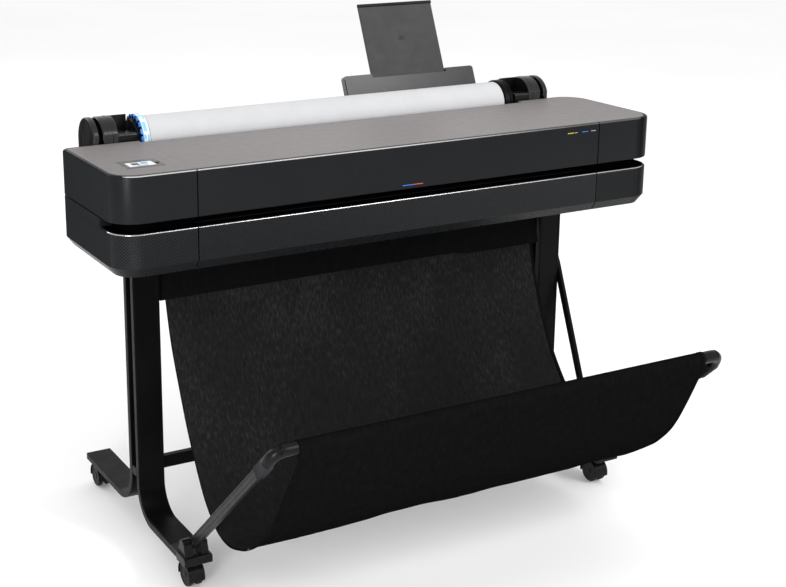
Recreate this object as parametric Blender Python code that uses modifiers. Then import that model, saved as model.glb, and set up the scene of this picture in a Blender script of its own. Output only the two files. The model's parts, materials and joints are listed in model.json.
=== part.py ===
"""A large format plotter on a wheeled stand, with a roll of paper, a sheet tray and a fabric bin.

X runs from left to right, Y is the depth behind the casing's front face and Z is up.
Everything hangs on one empty, which shifts that face so that the footprint is centred on the origin.
"""

import math

import bmesh
import bpy
from mathutils import Matrix, Vector

# Driving dimensions, in metres.
FRONT = -0.0836  # where the casing's front face lies, so that the whole footprint is centred
GAP = 0.0003  # between pieces that touch
WALL = 0.003  # thickness of every moulded shell

HALF_WIDTH = 0.6585
SEAM = 0.489  # the joints between the middle and the ends of the casing
SEAM_GAP = 0.0004
CASING_DEPTH = 0.3125
LID_DEPTH = 0.2875  # the middle of the lid stops short, in front of the roll
CORNER = 0.058
REAR_CORNERS = {-1: 0.020, 1: 0.058}  # the left end is squarer at the rear
BOTTOM = 0.6675
CHAMFER_TOP = 0.6875
CHAMFER_DEPTH = 0.015
LOWER_TOP = 0.756
UPPER_BOTTOM = 0.776
TOP = 0.871
EDGE = 0.005  # rounding of the lid's and the lower casing's top edges
SLOT_END = 0.09  # how far the output slot runs along the casing's sides
SLOT_INSET = 0.025
SIDE_SEAM = 0.7745

DOOR_BOTTOM, DOOR_TOP, DOOR_END = 0.6885, 0.7495, 0.600
DOOR_HINGE_X = 0.545
PANEL_LEFT, PANEL_RIGHT, PANEL_FRONT, PANEL_REAR = -0.607, -0.526, 0.064, 0.131
SCREEN_LEFT, SCREEN_RIGHT, SCREEN_FRONT, SCREEN_REAR = -0.596, -0.542, 0.076, 0.109
BUTTON = (-0.534, 0.0925)

REAR_DEPTH = 0.452
REAR_TOP = 0.803
REAR_HALF = 0.583
REAR_FRONT = 0.3135
REAR_BOTTOM = 0.6700
INLET_LEFT, INLET_RIGHT, INLET_BOTTOM, INLET_TOP = -0.4703, -0.4397, 0.7200, 0.7450

ROLL_Y, ROLL_Z = 0.362, 0.864
ROLL_RADIUS = 0.048
ROLL_HALF = 0.457
FLANGE_RADIUS = 0.053
JOURNAL_RADIUS = 0.0145
SPINDLE_END = 0.530
HUB_BORE = 0.0125
PLUG_RADIUS = 0.0250
CORE_INNER, CORE_OUTER = 0.0255, 0.0275
HOLDER_RADIUS = 0.052
HOLDER_SOCKET = 0.0155

TRAY_LEFT, TRAY_RIGHT = 0.1056, 0.4755
TRAY_FOOT = (0.0, 0.4265, 0.8105)
TRAY_LEAN = math.radians(23.5)
TRAY_HEIGHT = 0.1369
TRAY_THICK = 0.016
EXTENSION_LEFT, EXTENSION_RIGHT = 0.1863, 0.3943
EXTENSION_TOP = 0.3115

LEG_X = 0.523
LEG_WIDTH = 0.0595
LEG_TOP = 0.6668
FRONT_LEG_Y, REAR_LEG_Y = 0.2095, 0.250
FRONT_FOOT_Z, REAR_FOOT_Z = 0.0705, 0.0715
FOOT_FRONT, FOOT_REAR = -0.002, 0.545
LEG_THICK = 0.0155
TUBE_WALL = 0.002

CASTER_RADIUS = 0.025
CASTER_TRAIL = 0.014
FRONT_CASTER_Y, REAR_CASTER_Y = -0.018, 0.514

PIVOT_Y, PIVOT_Z = -0.020, 0.100
BAR_Y, BAR_Z = -0.378, 0.440
BAR_RADIUS = 0.012
ARM_END_Y, ARM_END_Z = -0.363, 0.417
FABRIC_HALF = 0.473
REAR_BAR_Y, REAR_BAR_Z = 0.232, 0.640
REAR_BAR_RADIUS = 0.008

CHASSIS_HALF = 0.615
PLATEN_Z = 0.7575
ROLLER_Y, ROLLER_Z = 0.215, 0.7440
ROLLER_RADIUS, SHAFT_RADIUS, SHAFT_HALF = 0.0125, 0.005, 0.625
RAIL_Y, RAIL_Z = 0.150, 0.838
RAIL_RADIUS, RAIL_BORE = 0.006, 0.0064
PARK_X = 0.540
PULLEY_X, PULLEY_Y, PULLEY_Z = 0.593, 0.203, 0.826
PULLEY_RADIUS = 0.010

for thing in list(bpy.data.objects):
    bpy.data.objects.remove(thing)

PARTS = bpy.data.collections.new("large_format_plotter")
CUTTERS = bpy.data.collections.new("cutters")
for collection in (PARTS, CUTTERS):
    bpy.context.scene.collection.children.link(collection)
FRONT_FACE = bpy.data.objects.new("front_face", None)
FRONT_FACE.location = (0, FRONT, 0)
PARTS.objects.link(FRONT_FACE)


def new_finish(name, colour, roughness, metallic=0.0):
    material = bpy.data.materials.new(name)
    material.use_nodes = True
    shader = material.node_tree.nodes["Principled BSDF"]
    shader.inputs["Base Color"].default_value = (*colour, 1.0)
    shader.inputs["Roughness"].default_value = roughness
    shader.inputs["Metallic"].default_value = metallic
    material.diffuse_color = (*colour, 1.0)
    return material


CASING = new_finish("casing", (0.022, 0.023, 0.025), 0.45)
LID = new_finish("lid", (0.27, 0.25, 0.245), 0.5)
BLACK = new_finish("black_plastic", (0.010, 0.010, 0.011), 0.35)
GLASS = new_finish("screen_glass", (0.02, 0.02, 0.02), 0.1)
STEEL = new_finish("zinc_steel", (0.55, 0.55, 0.57), 0.35, 1.0)
LEG_PAINT = new_finish("leg_paint", (0.013, 0.013, 0.013), 0.4)
RUBBER = new_finish("rubber", (0.012, 0.012, 0.012), 0.7)
PAPER = new_finish("paper", (0.80, 0.81, 0.84), 0.8)
CARD = new_finish("cardboard", (0.38, 0.27, 0.17), 0.9)
BLUE = new_finish("hub_blue", (0.015, 0.13, 0.45), 0.4)
COLLAR = new_finish("collar_white", (0.75, 0.82, 0.90), 0.4)
TRAY = new_finish("tray_grey", (0.10, 0.10, 0.105), 0.5)
FABRIC = new_finish("bin_fabric", (0.012, 0.012, 0.012), 0.9)


# Meshes.


def finished(solid, name):
    """The mesh of a bmesh, with its faces turned outwards."""
    bmesh.ops.recalc_face_normals(solid, faces=solid.faces)
    mesh = bpy.data.meshes.new(name)
    solid.to_mesh(mesh)
    solid.free()
    return mesh


def block(low, high):
    """A box between two corners."""
    centre = (Vector(low) + Vector(high)) / 2
    size = Vector(high) - Vector(low)
    solid = bmesh.new()
    bmesh.ops.create_cube(solid, size=1.0, matrix=Matrix.LocRotScale(centre, None, size))
    return finished(solid, "block")


# Where a flat outline's own X, Y and thickness point in the plotter.
TURNS = {
    "X": Matrix(((0, 0, 1, 0), (1, 0, 0, 0), (0, 1, 0, 0), (0, 0, 0, 1))),
    "Y": Matrix(((1, 0, 0, 0), (0, 0, -1, 0), (0, 1, 0, 0), (0, 0, 0, 1))),
    "Z": Matrix.Identity(4),
}


def prism(outline, start, end, along="X", holes=()):
    """A flat outline drawn across an axis and pushed along it from start to end."""
    curve = bpy.data.curves.new("outline", "CURVE")
    curve.dimensions = "2D"
    curve.fill_mode = "BOTH"
    curve.extrude = abs(end - start) / 2
    for points in (outline, *holes):
        spline = curve.splines.new("POLY")
        spline.points.add(len(points) - 1)
        for place, (u, v) in zip(spline.points, points):
            place.co = (u, v, 0, 1)
        spline.use_cyclic_u = True
    drawn = bpy.data.objects.new("outline", curve)
    bpy.context.scene.collection.objects.link(drawn)
    graph = bpy.context.evaluated_depsgraph_get()
    flat = bpy.data.meshes.new_from_object(drawn.evaluated_get(graph))
    bpy.data.objects.remove(drawn)
    bpy.data.curves.remove(curve)
    solid = bmesh.new()
    solid.from_mesh(flat)
    bpy.data.meshes.remove(flat)
    bmesh.ops.remove_doubles(solid, verts=solid.verts, dist=1e-6)
    middle = (start + end) / 2 * (-1 if along == "Y" else 1)
    turn = TURNS[along] @ Matrix.Translation((0, 0, middle))
    bmesh.ops.transform(solid, matrix=turn, verts=solid.verts)
    return finished(solid, "prism")


def mirrored(side, outline, near, far):
    """A prism along X on one side of the middle: -1 for the left, 1 for the right."""
    low, high = sorted((side * near, side * far))
    return prism(outline, low, high)


def loft(rings):
    """A closed solid through rings that have the same number of points, capped at both ends."""
    solid = bmesh.new()
    rows = [[solid.verts.new(point) for point in ring] for ring in rings]
    for low, high in zip(rows, rows[1:]):
        for i in range(len(low)):
            j = (i + 1) % len(low)
            solid.faces.new((low[i], low[j], high[j], high[i]))
    solid.faces.new(rows[0])
    solid.faces.new(rows[-1])
    return finished(solid, "loft")


def arc(centre, radius, start, end, steps):
    """Points on an arc, with its angles in degrees."""
    angles = [math.radians(start + (end - start) * i / steps) for i in range(steps + 1)]
    return [(centre[0] + radius * math.cos(a), centre[1] + radius * math.sin(a)) for a in angles]


def circle(centre, radius, steps=24):
    return arc(centre, radius, 0, 360, steps)[:-1]


def smooth(points, steps=3):
    """A Catmull-Rom curve through points."""
    ends = [points[0], *points, points[-1]]
    curve = []
    for a, b, c, d in zip(ends, ends[1:], ends[2:], ends[3:]):
        for i in range(steps):
            t = i / steps
            weights = (
                -t + 2 * t**2 - t**3,
                2 - 5 * t**2 + 3 * t**3,
                t + 4 * t**2 - 3 * t**3,
                t**3 - t**2,
            )
            curve.append(tuple(sum(w * p[k] for w, p in zip(weights, (a, b, c, d))) / 2 for k in (0, 1)))
    return [*curve, points[-1]]


def ribbon(path, width, round_ends=False):
    """The outline of a strip of even width along a path."""
    left, right = [], []
    for i, (u, v) in enumerate(path):
        before = Vector(path[max(i - 1, 0)])
        after = Vector(path[min(i + 1, len(path) - 1)])
        run = (after - before).normalized()
        side = Vector((-run.y, run.x)) * width / 2
        left.append((u + side.x, v + side.y))
        right.append((u - side.x, v - side.y))
    if not round_ends:
        return left + right[::-1]
    angle = math.degrees(math.atan2(path[-1][1] - path[0][1], path[-1][0] - path[0][0]))
    far = arc(path[-1], width / 2, angle + 90, angle - 90, 8)[1:-1]
    near = arc(path[0], width / 2, angle - 90, angle - 270, 8)[1:-1]
    return left + far + right[::-1] + near


# Objects.


def add(name, mesh, finish=None, pivot=(0, 0, 0)):
    """A part whose origin is at pivot or, with no finish, a helper that only shapes other parts."""
    mesh.name = name
    mesh.transform(Matrix.Translation(-Vector(pivot)))
    obj = bpy.data.objects.new(name, mesh)
    obj.location = pivot
    obj.parent = FRONT_FACE
    if finish:
        PARTS.objects.link(obj)
        mesh.materials.append(finish)
    else:
        CUTTERS.objects.link(obj)
        obj.hide_render = True
        obj.display_type = "WIRE"
    return obj


def shape(obj, mesh, operation):
    """Joins a mesh to a part or cuts it away, with a Boolean modifier."""
    helper = add(f"{obj.name}_{operation.lower()}", mesh)
    modifier = obj.modifiers.new(operation.title(), "BOOLEAN")
    modifier.operation = operation
    modifier.object = helper
    modifier.solver = "EXACT"


def join(obj, *meshes):
    for mesh in meshes:
        shape(obj, mesh, "UNION")


def cut(obj, *meshes):
    for mesh in meshes:
        shape(obj, mesh, "DIFFERENCE")


def turned(name, profile, centre, finish, along="X", steps=24, ring=False):
    """A turned part: (radius, place along the axis) points, from its far end down its outer side."""
    count = len(profile)
    edges = [(i, (i + 1) % count) for i in range(count if ring else count - 1)]
    mesh = bpy.data.meshes.new(name)
    mesh.from_pydata([(radius, 0, place) for radius, place in profile], edges, [])
    obj = add(name, mesh, finish)
    obj.location = centre
    if along == "X":
        obj.rotation_euler = (0, math.pi / 2, 0)
    screw = obj.modifiers.new("Turn", "SCREW")
    screw.steps = steps
    screw.render_steps = steps
    screw.use_merge_vertices = True
    screw.merge_threshold = 1e-5
    return obj


def rod(low, high, centre, radius, steps=16):
    """A round rod along X."""
    return prism(circle(centre, radius, steps), low, high)


# The casing.


def end_outline(side, inset, depth=CASING_DEPTH, seam=SEAM + SEAM_GAP, steps=8):
    """One end of the casing in plan, from the seam's front round both outer corners to its rear."""
    radius = CORNER - inset
    outer = HALF_WIDTH - inset
    front = arc((outer - radius, inset + radius), radius, -90, 0, steps)
    radius = REAR_CORNERS[side] - inset
    rear = arc((outer - radius, depth - inset - radius), radius, 0, 90, steps)
    plan = [(seam, inset), *front, *rear, (seam, depth - inset)]
    return [(side * x, y) for x, y in plan]


def raised(outline, height):
    return [(x, y, height) for x, y in outline]


def edge_steps(steps=3):
    """Inset and drop of each point on a rounded edge, from the side up to the top."""
    angles = [math.pi / 2 * i / steps for i in range(steps + 1)]
    return [(EDGE * (1 - math.cos(a)), EDGE * (1 - math.sin(a))) for a in angles]


def upper_end_cover(name, side):
    rings = [raised(end_outline(side, 0.0015), UPPER_BOTTOM)]
    rings.append(raised(end_outline(side, 0), UPPER_BOTTOM + 0.002))
    for inset, drop in edge_steps():
        rings.append(raised(end_outline(side, inset), TOP - drop))
    cover = add(name, loft(rings), CASING)
    hollow = end_outline(side, WALL, seam=SEAM - 0.01)
    cut(cover, loft([raised(hollow, UPPER_BOTTOM - 0.01), raised(hollow, TOP - WALL)]))
    return cover


def slot_outline(side, inset, reach=0.0):
    """The part of a lower end that fills the slot: the wall set back behind it, and the rear."""
    radius = CORNER - SLOT_INSET - inset
    neck = HALF_WIDTH - SLOT_INSET - inset
    outer = HALF_WIDTH - inset - 0.0005
    depth = CASING_DEPTH - 0.0005
    corner = REAR_CORNERS[side] - inset
    front = arc((neck - radius, SLOT_INSET + inset + radius), radius, -90, 0, 8)
    rear = arc((outer - corner, depth - inset - corner), corner, 0, 90, 8)
    seam = SEAM + SEAM_GAP - reach
    plan = [(seam, SLOT_INSET + inset), *front, (neck, SLOT_END + inset), (outer, SLOT_END + inset)]
    plan += [*rear, (seam, depth - inset)]
    return [(side * x, y) for x, y in plan]


def lower_end_cover(name, side):
    rings = [raised(end_outline(side, CHAMFER_DEPTH), BOTTOM)]
    rings.append(raised(end_outline(side, 0), CHAMFER_TOP))
    for inset, drop in edge_steps():
        rings.append(raised(end_outline(side, inset), LOWER_TOP - drop))
    cover = add(name, loft(rings), CASING)
    join(cover, prism(slot_outline(side, 0), LOWER_TOP - 0.008, SIDE_SEAM, "Z"))
    low = end_outline(side, CHAMFER_DEPTH + WALL, seam=SEAM - 0.01)
    wide = end_outline(side, WALL, seam=SEAM - 0.01)
    floor = raised(low, BOTTOM + WALL)
    cut(cover, loft([floor, raised(wide, CHAMFER_TOP + 0.002), raised(wide, LOWER_TOP - WALL)]))
    cut(cover, prism(slot_outline(side, WALL, 0.01), LOWER_TOP - 0.005, SIDE_SEAM + 0.01, "Z"))
    return cover


def casing():
    for name, side in (("left_lower_end_cover", -1), ("right_lower_end_cover", 1)):
        cover = lower_end_cover(name, side)
        if side == 1:
            low = (SEAM - 0.01, -0.01, DOOR_BOTTOM - GAP)
            cut(cover, block(low, (DOOR_END + GAP, 0.008, DOOR_TOP + GAP)))
    hinge = (DOOR_HINGE_X, 0.0003, DOOR_BOTTOM + 0.0002)
    leaf = block((SEAM + SEAM_GAP, 0, DOOR_BOTTOM), (DOOR_END, WALL, DOOR_TOP))
    door = add("ink_door", leaf, CASING, hinge)
    join(door, block((0.515, WALL - 0.001, 0.734), (DOOR_HINGE_X, WALL + 0.006, 0.738)))

    middle = SEAM - SEAM_GAP
    lip = arc((EDGE, LOWER_TOP - EDGE), EDGE, 180, 90, 3)
    trough = [(CHAMFER_DEPTH, BOTTOM), (0, CHAMFER_TOP), *lip, (0.030, LOWER_TOP)]
    trough += [(0.030, LOWER_TOP - WALL), (EDGE, LOWER_TOP - WALL), (WALL, LOWER_TOP - EDGE)]
    trough += [(WALL, CHAMFER_TOP + 0.001), (CHAMFER_DEPTH + 0.0015, BOTTOM + WALL)]
    back = CASING_DEPTH
    trough += [(back - CHAMFER_DEPTH - 0.0015, BOTTOM + WALL), (back - WALL, CHAMFER_TOP + 0.001)]
    trough += [(back - WALL, 0.770), (back, 0.770), (back, CHAMFER_TOP), (back - CHAMFER_DEPTH, BOTTOM)]
    add("lower_front_cover", prism(trough, -middle, middle), CASING)

    left = upper_end_cover("left_upper_end_cover", -1)
    low = (PANEL_LEFT - GAP, PANEL_FRONT - GAP, TOP - 0.02)
    cut(left, block(low, (PANEL_RIGHT + GAP, PANEL_REAR + GAP, TOP + 0.01)))
    upper_end_cover("right_upper_end_cover", 1)

    rim = arc((EDGE, TOP - EDGE), EDGE, 180, 90, 3)
    section = [(0.0015, UPPER_BOTTOM), (0, UPPER_BOTTOM + 0.002), *rim, (LID_DEPTH - 0.002, TOP)]
    section += [(LID_DEPTH, TOP - 0.0015), (LID_DEPTH, TOP - WALL), (EDGE + 0.001, TOP - WALL)]
    section += [(WALL, TOP - EDGE - 0.001), (WALL, UPPER_BOTTOM)]
    hinge = (0, LID_DEPTH - 0.001, TOP - 0.001)
    cover = add("top_cover", prism(section, -middle, middle), LID, hinge)
    for x in (-0.32, 0, 0.32):
        join(cover, block((x - 0.0015, 0.010, TOP - 0.011), (x + 0.0015, LID_DEPTH - 0.02, TOP - 0.002)))


def touch_panel():
    low, high = (PANEL_LEFT, PANEL_FRONT, TOP - 0.008), (PANEL_RIGHT, PANEL_REAR, TOP + 0.001)
    panel = add("touch_panel", block(low, high), BLACK)
    low = (SCREEN_LEFT - GAP, SCREEN_FRONT - GAP, TOP + 0.0002)
    cut(panel, block(low, (SCREEN_RIGHT + GAP, SCREEN_REAR + GAP, TOP + 0.004)))
    cut(panel, prism(circle(BUTTON, 0.0048, 20), TOP - 0.011, TOP + 0.004, "Z"))
    low, high = (SCREEN_LEFT, SCREEN_FRONT, TOP + 0.0005), (SCREEN_RIGHT, SCREEN_REAR, TOP + 0.0012)
    add("touch_screen", block(low, high), GLASS)
    key = [(0, 0.0), (0.0040, 0.0), (0.0045, -0.0005), (0.0045, -0.004), (0.0018, -0.004)]
    key += [(0.0018, -0.011), (0, -0.011)]
    turned("power_button", key, (*BUTTON, TOP + 0.0015), BLACK, "Z", 20)


# Paper path and print mechanism.


def chassis():
    half = CHASSIS_HALF
    base = add("base_chassis", block((-half, 0.030, 0.6710), (half, 0.290, 0.6730)), STEEL)
    for side in (-1, 1):
        cheek = [(0.040, 0.6715), (0.288, 0.6715), (0.288, 0.740), (0.225, 0.852), (0.110, 0.852)]
        cheek += [(0.040, 0.740)]
        bore = circle((RAIL_Y, RAIL_Z), RAIL_BORE, 16)
        roller = circle((ROLLER_Y, ROLLER_Z), SHAFT_RADIUS + 0.0004, 16)
        inner, outer = sorted((side * (half - 0.002), side * half))
        join(base, prism(cheek, inner, outer, "X", (bore, roller)))
    for y in (0.060, 0.180, 0.240):
        join(base, block((-0.47, y, 0.6725), (0.47, y + 0.002, 0.7420)))


def paper_path():
    flat = [(0.032, PLATEN_Z - 0.003), (0.0335, PLATEN_Z), (0.262, PLATEN_Z), (0.305, 0.795)]
    flat += [(0.308, 0.793), (0.264, PLATEN_Z - 0.003)]
    platen = add("platen", prism(flat, -0.484, 0.484), BLACK)
    cut(platen, block((-0.472, 0.2015, 0.74), (0.472, 0.2285, 0.77)))
    for i in range(9):
        x = -0.44 + 0.11 * i
        join(platen, block((x - 0.002, 0.045, 0.743), (x + 0.002, 0.195, PLATEN_Z - 0.001)))

    roller = [(0, SHAFT_HALF), (SHAFT_RADIUS, SHAFT_HALF)]
    for i in range(7):
        far = 0.470 - 0.150 * i
        near = far - 0.04
        roller += [(SHAFT_RADIUS, far), (ROLLER_RADIUS, far), (ROLLER_RADIUS, near), (SHAFT_RADIUS, near)]
    roller += [(SHAFT_RADIUS, -SHAFT_HALF), (0, -SHAFT_HALF)]
    turned("feed_roller", roller, (0, ROLLER_Y, ROLLER_Z), RUBBER, steps=12)
    bar = add("pinch_roller_bar", block((-0.610, 0.238, 0.775), (0.610, 0.248, 0.783)), BLACK)
    for i in range(7):
        x = 0.450 - 0.150 * i
        join(bar, block((x - 0.010, 0.212, 0.774), (x + 0.010, 0.239, 0.778)))
        join(bar, rod(x - 0.012, x + 0.012, (ROLLER_Y, ROLLER_Z + 0.0225), 0.008, 12))


def carriage():
    x = PARK_X
    pivot = (x, RAIL_Y, RAIL_Z)
    body = add("carriage", block((x - 0.045, 0.055, 0.768), (x + 0.045, 0.190, 0.828)), BLACK, pivot)
    join(body, block((x - 0.036, 0.070, 0.827), (x + 0.036, 0.175, 0.850)))
    cut(body, rod(x - 0.06, x + 0.06, (RAIL_Y, RAIL_Z), RAIL_BORE))
    add("carriage_rail", rod(-SHAFT_HALF, SHAFT_HALF, (RAIL_Y, RAIL_Z), RAIL_RADIUS), STEEL)
    left, right = (-PULLEY_X, PULLEY_Z), (PULLEY_X, PULLEY_Z)
    outer = arc(right, 0.0122, 90, -90, 8) + arc(left, 0.0122, 270, 90, 8)
    inner = arc(right, 0.0107, 90, -90, 8) + arc(left, 0.0107, 270, 90, 8)
    belt = prism(outer, PULLEY_Y - 0.003, PULLEY_Y + 0.003, "Y", (inner,))
    add("carriage_belt", belt, RUBBER)
    for name, side in (("idler_pulley", -1), ("drive_pulley", 1)):
        centre = (side * PULLEY_X, PULLEY_Y, PULLEY_Z)
        wheel = [(0, 0.0045), (0.0118, 0.0045), (0.0118, 0.0035), (PULLEY_RADIUS, 0.0035)]
        wheel += [(PULLEY_RADIUS, -0.0035), (0.0118, -0.0035), (0.0118, -0.0045), (0.003, -0.0045)]
        wheel += [(0.003, -0.012), (0, -0.012)]
        turned(name, wheel, centre, STEEL, "Y", 20).rotation_euler = (math.pi / 2, 0, 0)
    case = prism(circle((PULLEY_X, PULLEY_Z), 0.019, 20), PULLEY_Y + 0.006, PULLEY_Y + 0.060, "Y")
    motor = add("carriage_motor", case, STEEL)
    hole = circle((PULLEY_X, PULLEY_Z), 0.0035, 12)
    cut(motor, prism(hole, PULLEY_Y, PULLEY_Y + 0.013, "Y"))


def ink_system():
    station = add("service_station", block((0.497, 0.060, 0.7465), (0.583, 0.185, 0.7560)), BLACK)
    for i in range(4):
        x = 0.510 + 0.018 * i
        join(station, block((x, 0.090, 0.755), (x + 0.012, 0.150, 0.7650)))
    for i, name in enumerate(("black", "cyan", "magenta", "yellow")):
        x = 0.4975 + 0.0285 * i
        case = add(f"ink_cartridge_{name}", block((x, 0.018, 0.6745), (x + 0.026, 0.150, 0.738)), BLACK)
        join(case, block((x + 0.008, 0.010, 0.700), (x + 0.018, 0.019, 0.722)))


# The rear, the roll and the sheet tray.


def rear():
    section = [(REAR_FRONT, REAR_BOTTOM), (REAR_DEPTH - 0.012, REAR_BOTTOM)]
    section += [(REAR_DEPTH, REAR_BOTTOM + 0.014), (REAR_DEPTH, REAR_TOP - 0.004)]
    section += [(REAR_DEPTH - 0.004, REAR_TOP), (REAR_FRONT, REAR_TOP)]
    cover = add("rear_cover", prism(section, -REAR_HALF, REAR_HALF), CASING)
    low = (-REAR_HALF + WALL, 0.30, REAR_BOTTOM + WALL)
    cut(cover, block(low, (REAR_HALF - WALL, REAR_DEPTH - WALL, REAR_TOP - WALL)))
    join(cover, block((-0.486, 0.4170, REAR_TOP - 0.002), (0.486, 0.4205, 0.842)))
    low, high = (INLET_LEFT - GAP, 0.440, INLET_BOTTOM - GAP), (INLET_RIGHT + GAP, 0.460, INLET_TOP + GAP)
    cut(cover, block(low, high))
    for i in range(10):
        x = 0.10 + 0.03 * i
        cut(cover, block((x, 0.440, 0.710), (x + 0.018, 0.460, 0.716)))

    low, high = (INLET_LEFT, 0.4350, INLET_BOTTOM), (INLET_RIGHT, REAR_DEPTH + 0.0015, INLET_TOP)
    inlet = add("power_inlet", block(low, high), BLACK)
    rim = 0.0033
    low = (INLET_LEFT + rim, 0.4400, INLET_BOTTOM + rim)
    cut(inlet, block(low, (INLET_RIGHT - rim, 0.4600, INLET_TOP - rim)))
    for x, z in ((-0.4615, 0.7300), (-0.4550, 0.7345), (-0.4485, 0.7300)):
        join(inlet, block((x - 0.001, 0.4390, z - 0.002), (x + 0.001, 0.4510, z + 0.002)))

    for name, side in (("left_roll_holder", -1), ("right_roll_holder", 1)):
        roll_holder(name, side)


def arch(radius):
    """The outline of a roll holder: an arch over the roll's axis, flat where it meets the casing."""
    centre = (ROLL_Y, ROLL_Z + 0.003)
    front = 0.3140
    start = math.degrees(math.acos((front - ROLL_Y) / radius))
    over = arc(centre, radius, start, 0, 14)
    return [(front, REAR_TOP + GAP), *over, (ROLL_Y + radius, REAR_TOP + GAP)]


def roll_holder(name, side):
    groove = mirrored(side, arch(0.0487), 0.5620, 0.5730)
    holder = add(name, mirrored(side, arch(HOLDER_RADIUS), 0.5290, 0.5635), BLACK)
    join(holder, groove, mirrored(side, arch(HOLDER_RADIUS), 0.5720, 0.5845))
    rest = REAR_TOP + GAP
    step = [(0.3140, rest), (0.3140, 0.882), (0.3175, 0.887), (ROLL_Y - HOLDER_SOCKET, 0.887)]
    step += arc((ROLL_Y, ROLL_Z), HOLDER_SOCKET, 180, 360, 10)
    top = math.degrees(math.acos(HOLDER_SOCKET / HOLDER_RADIUS))
    step += arc((ROLL_Y, ROLL_Z + 0.003), HOLDER_RADIUS, top, 0, 8) + [(ROLL_Y + HOLDER_RADIUS, rest)]
    join(holder, mirrored(side, step, 0.4880, 0.5300))
    socket = circle((ROLL_Y, ROLL_Z), HOLDER_SOCKET, 20)
    cut(holder, mirrored(side, socket, 0.5200, 0.5360))


def roll():
    centre = (0, ROLL_Y, ROLL_Z)
    end, neck = SPINDLE_END, 0.4895
    shaft = [(0, end), (JOURNAL_RADIUS, end), (JOURNAL_RADIUS, neck), (0.012, neck)]
    shaft += [(0.012, -neck), (JOURNAL_RADIUS, -neck), (JOURNAL_RADIUS, -end), (0, -end)]
    turned("roll_spindle", shaft, centre, STEEL)
    core = [(CORE_OUTER, ROLL_HALF), (CORE_OUTER, -ROLL_HALF)]
    core += [(CORE_INNER, -ROLL_HALF), (CORE_INNER, ROLL_HALF)]
    turned("paper_core", core, centre, CARD, ring=True, steps=32)
    inside = CORE_OUTER + GAP
    paper = [(ROLL_RADIUS, ROLL_HALF), (ROLL_RADIUS, -ROLL_HALF), (inside, -ROLL_HALF), (inside, ROLL_HALF)]
    turned("paper_roll", paper, centre, PAPER, ring=True, steps=40)
    hub, plug = HUB_BORE, PLUG_RADIUS
    left = ROLL_HALF + 0.0025 + 0.0150
    disc = [(FLANGE_RADIUS, 0), (FLANGE_RADIUS, -0.005), (0.044, -0.005), (0.044, -0.0115)]
    disc += [(hub, -0.0115), (hub, 0)]
    turned("left_spindle_hub", disc, (-left, ROLL_Y, ROLL_Z), BLUE, ring=True, steps=28)
    collar = [(plug, 0.035), (plug, 0), (FLANGE_RADIUS, 0), (FLANGE_RADIUS, -0.0148), (hub, -0.0148)]
    collar += [(hub, 0.035)]
    place = (-ROLL_HALF - 0.0024, ROLL_Y, ROLL_Z)
    turned("left_spindle_collar", collar, place, COLLAR, ring=True, steps=28)
    ribbed = [(0.044, 0.0275), (0.044, 0.020), (FLANGE_RADIUS - 0.001, 0.020), (FLANGE_RADIUS - 0.001, 0)]
    ribbed += [(plug, 0), (plug, -0.035), (hub, -0.035), (hub, 0.0275)]
    place = (ROLL_HALF + 0.0024, ROLL_Y, ROLL_Z)
    turned("right_spindle_hub", ribbed, place, BLACK, ring=True, steps=28)


TRAY_FRAME = Matrix.Translation(TRAY_FOOT) @ Matrix.Rotation(-TRAY_LEAN, 4, "X")


def leaning(mesh):
    """A mesh drawn upright, with its thickness along Y, laid back into the tray's plane."""
    mesh.transform(TRAY_FRAME)
    return mesh


def rounded_plate(left, right, low, high, near, far, radius):
    """An upright plate whose two upper corners are round."""
    plan = [(right, low), *arc((right - radius, high - radius), radius, 0, 90, 5)]
    plan += [*arc((left + radius, high - radius), radius, 90, 180, 5), (left, low)]
    return prism(plan, near, far, "Y")


def sheet_tray():
    plate = rounded_plate(TRAY_LEFT, TRAY_RIGHT, 0, TRAY_HEIGHT, 0, TRAY_THICK, 0.007)
    tray = add("sheet_tray", leaning(plate), TRAY)
    pocket = (EXTENSION_LEFT - 0.001, EXTENSION_RIGHT + 0.001)
    notch = TRAY_HEIGHT - 0.009
    cut(tray, leaning(block((pocket[0], 0.0045, 0.004), (pocket[1], 0.0118, 0.2))))
    cut(tray, leaning(block((pocket[0], -0.01, notch), (pocket[1], 0.0080, 0.2))))

    foot = notch - 0.022
    plate = rounded_plate(EXTENSION_LEFT, EXTENSION_RIGHT, foot, EXTENSION_TOP, 0.0050, 0.0113, 0.004)
    pivot = TRAY_FRAME @ Vector((0.2875, 0.008, foot))
    extension = add("sheet_tray_extension", leaning(plate), TRAY, pivot)
    lip = rod(EXTENSION_LEFT - 0.001, EXTENSION_RIGHT + 0.001, (0.0065, EXTENSION_TOP - 0.003), 0.0045, 12)
    join(extension, leaning(lip))


# The stand.


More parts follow.
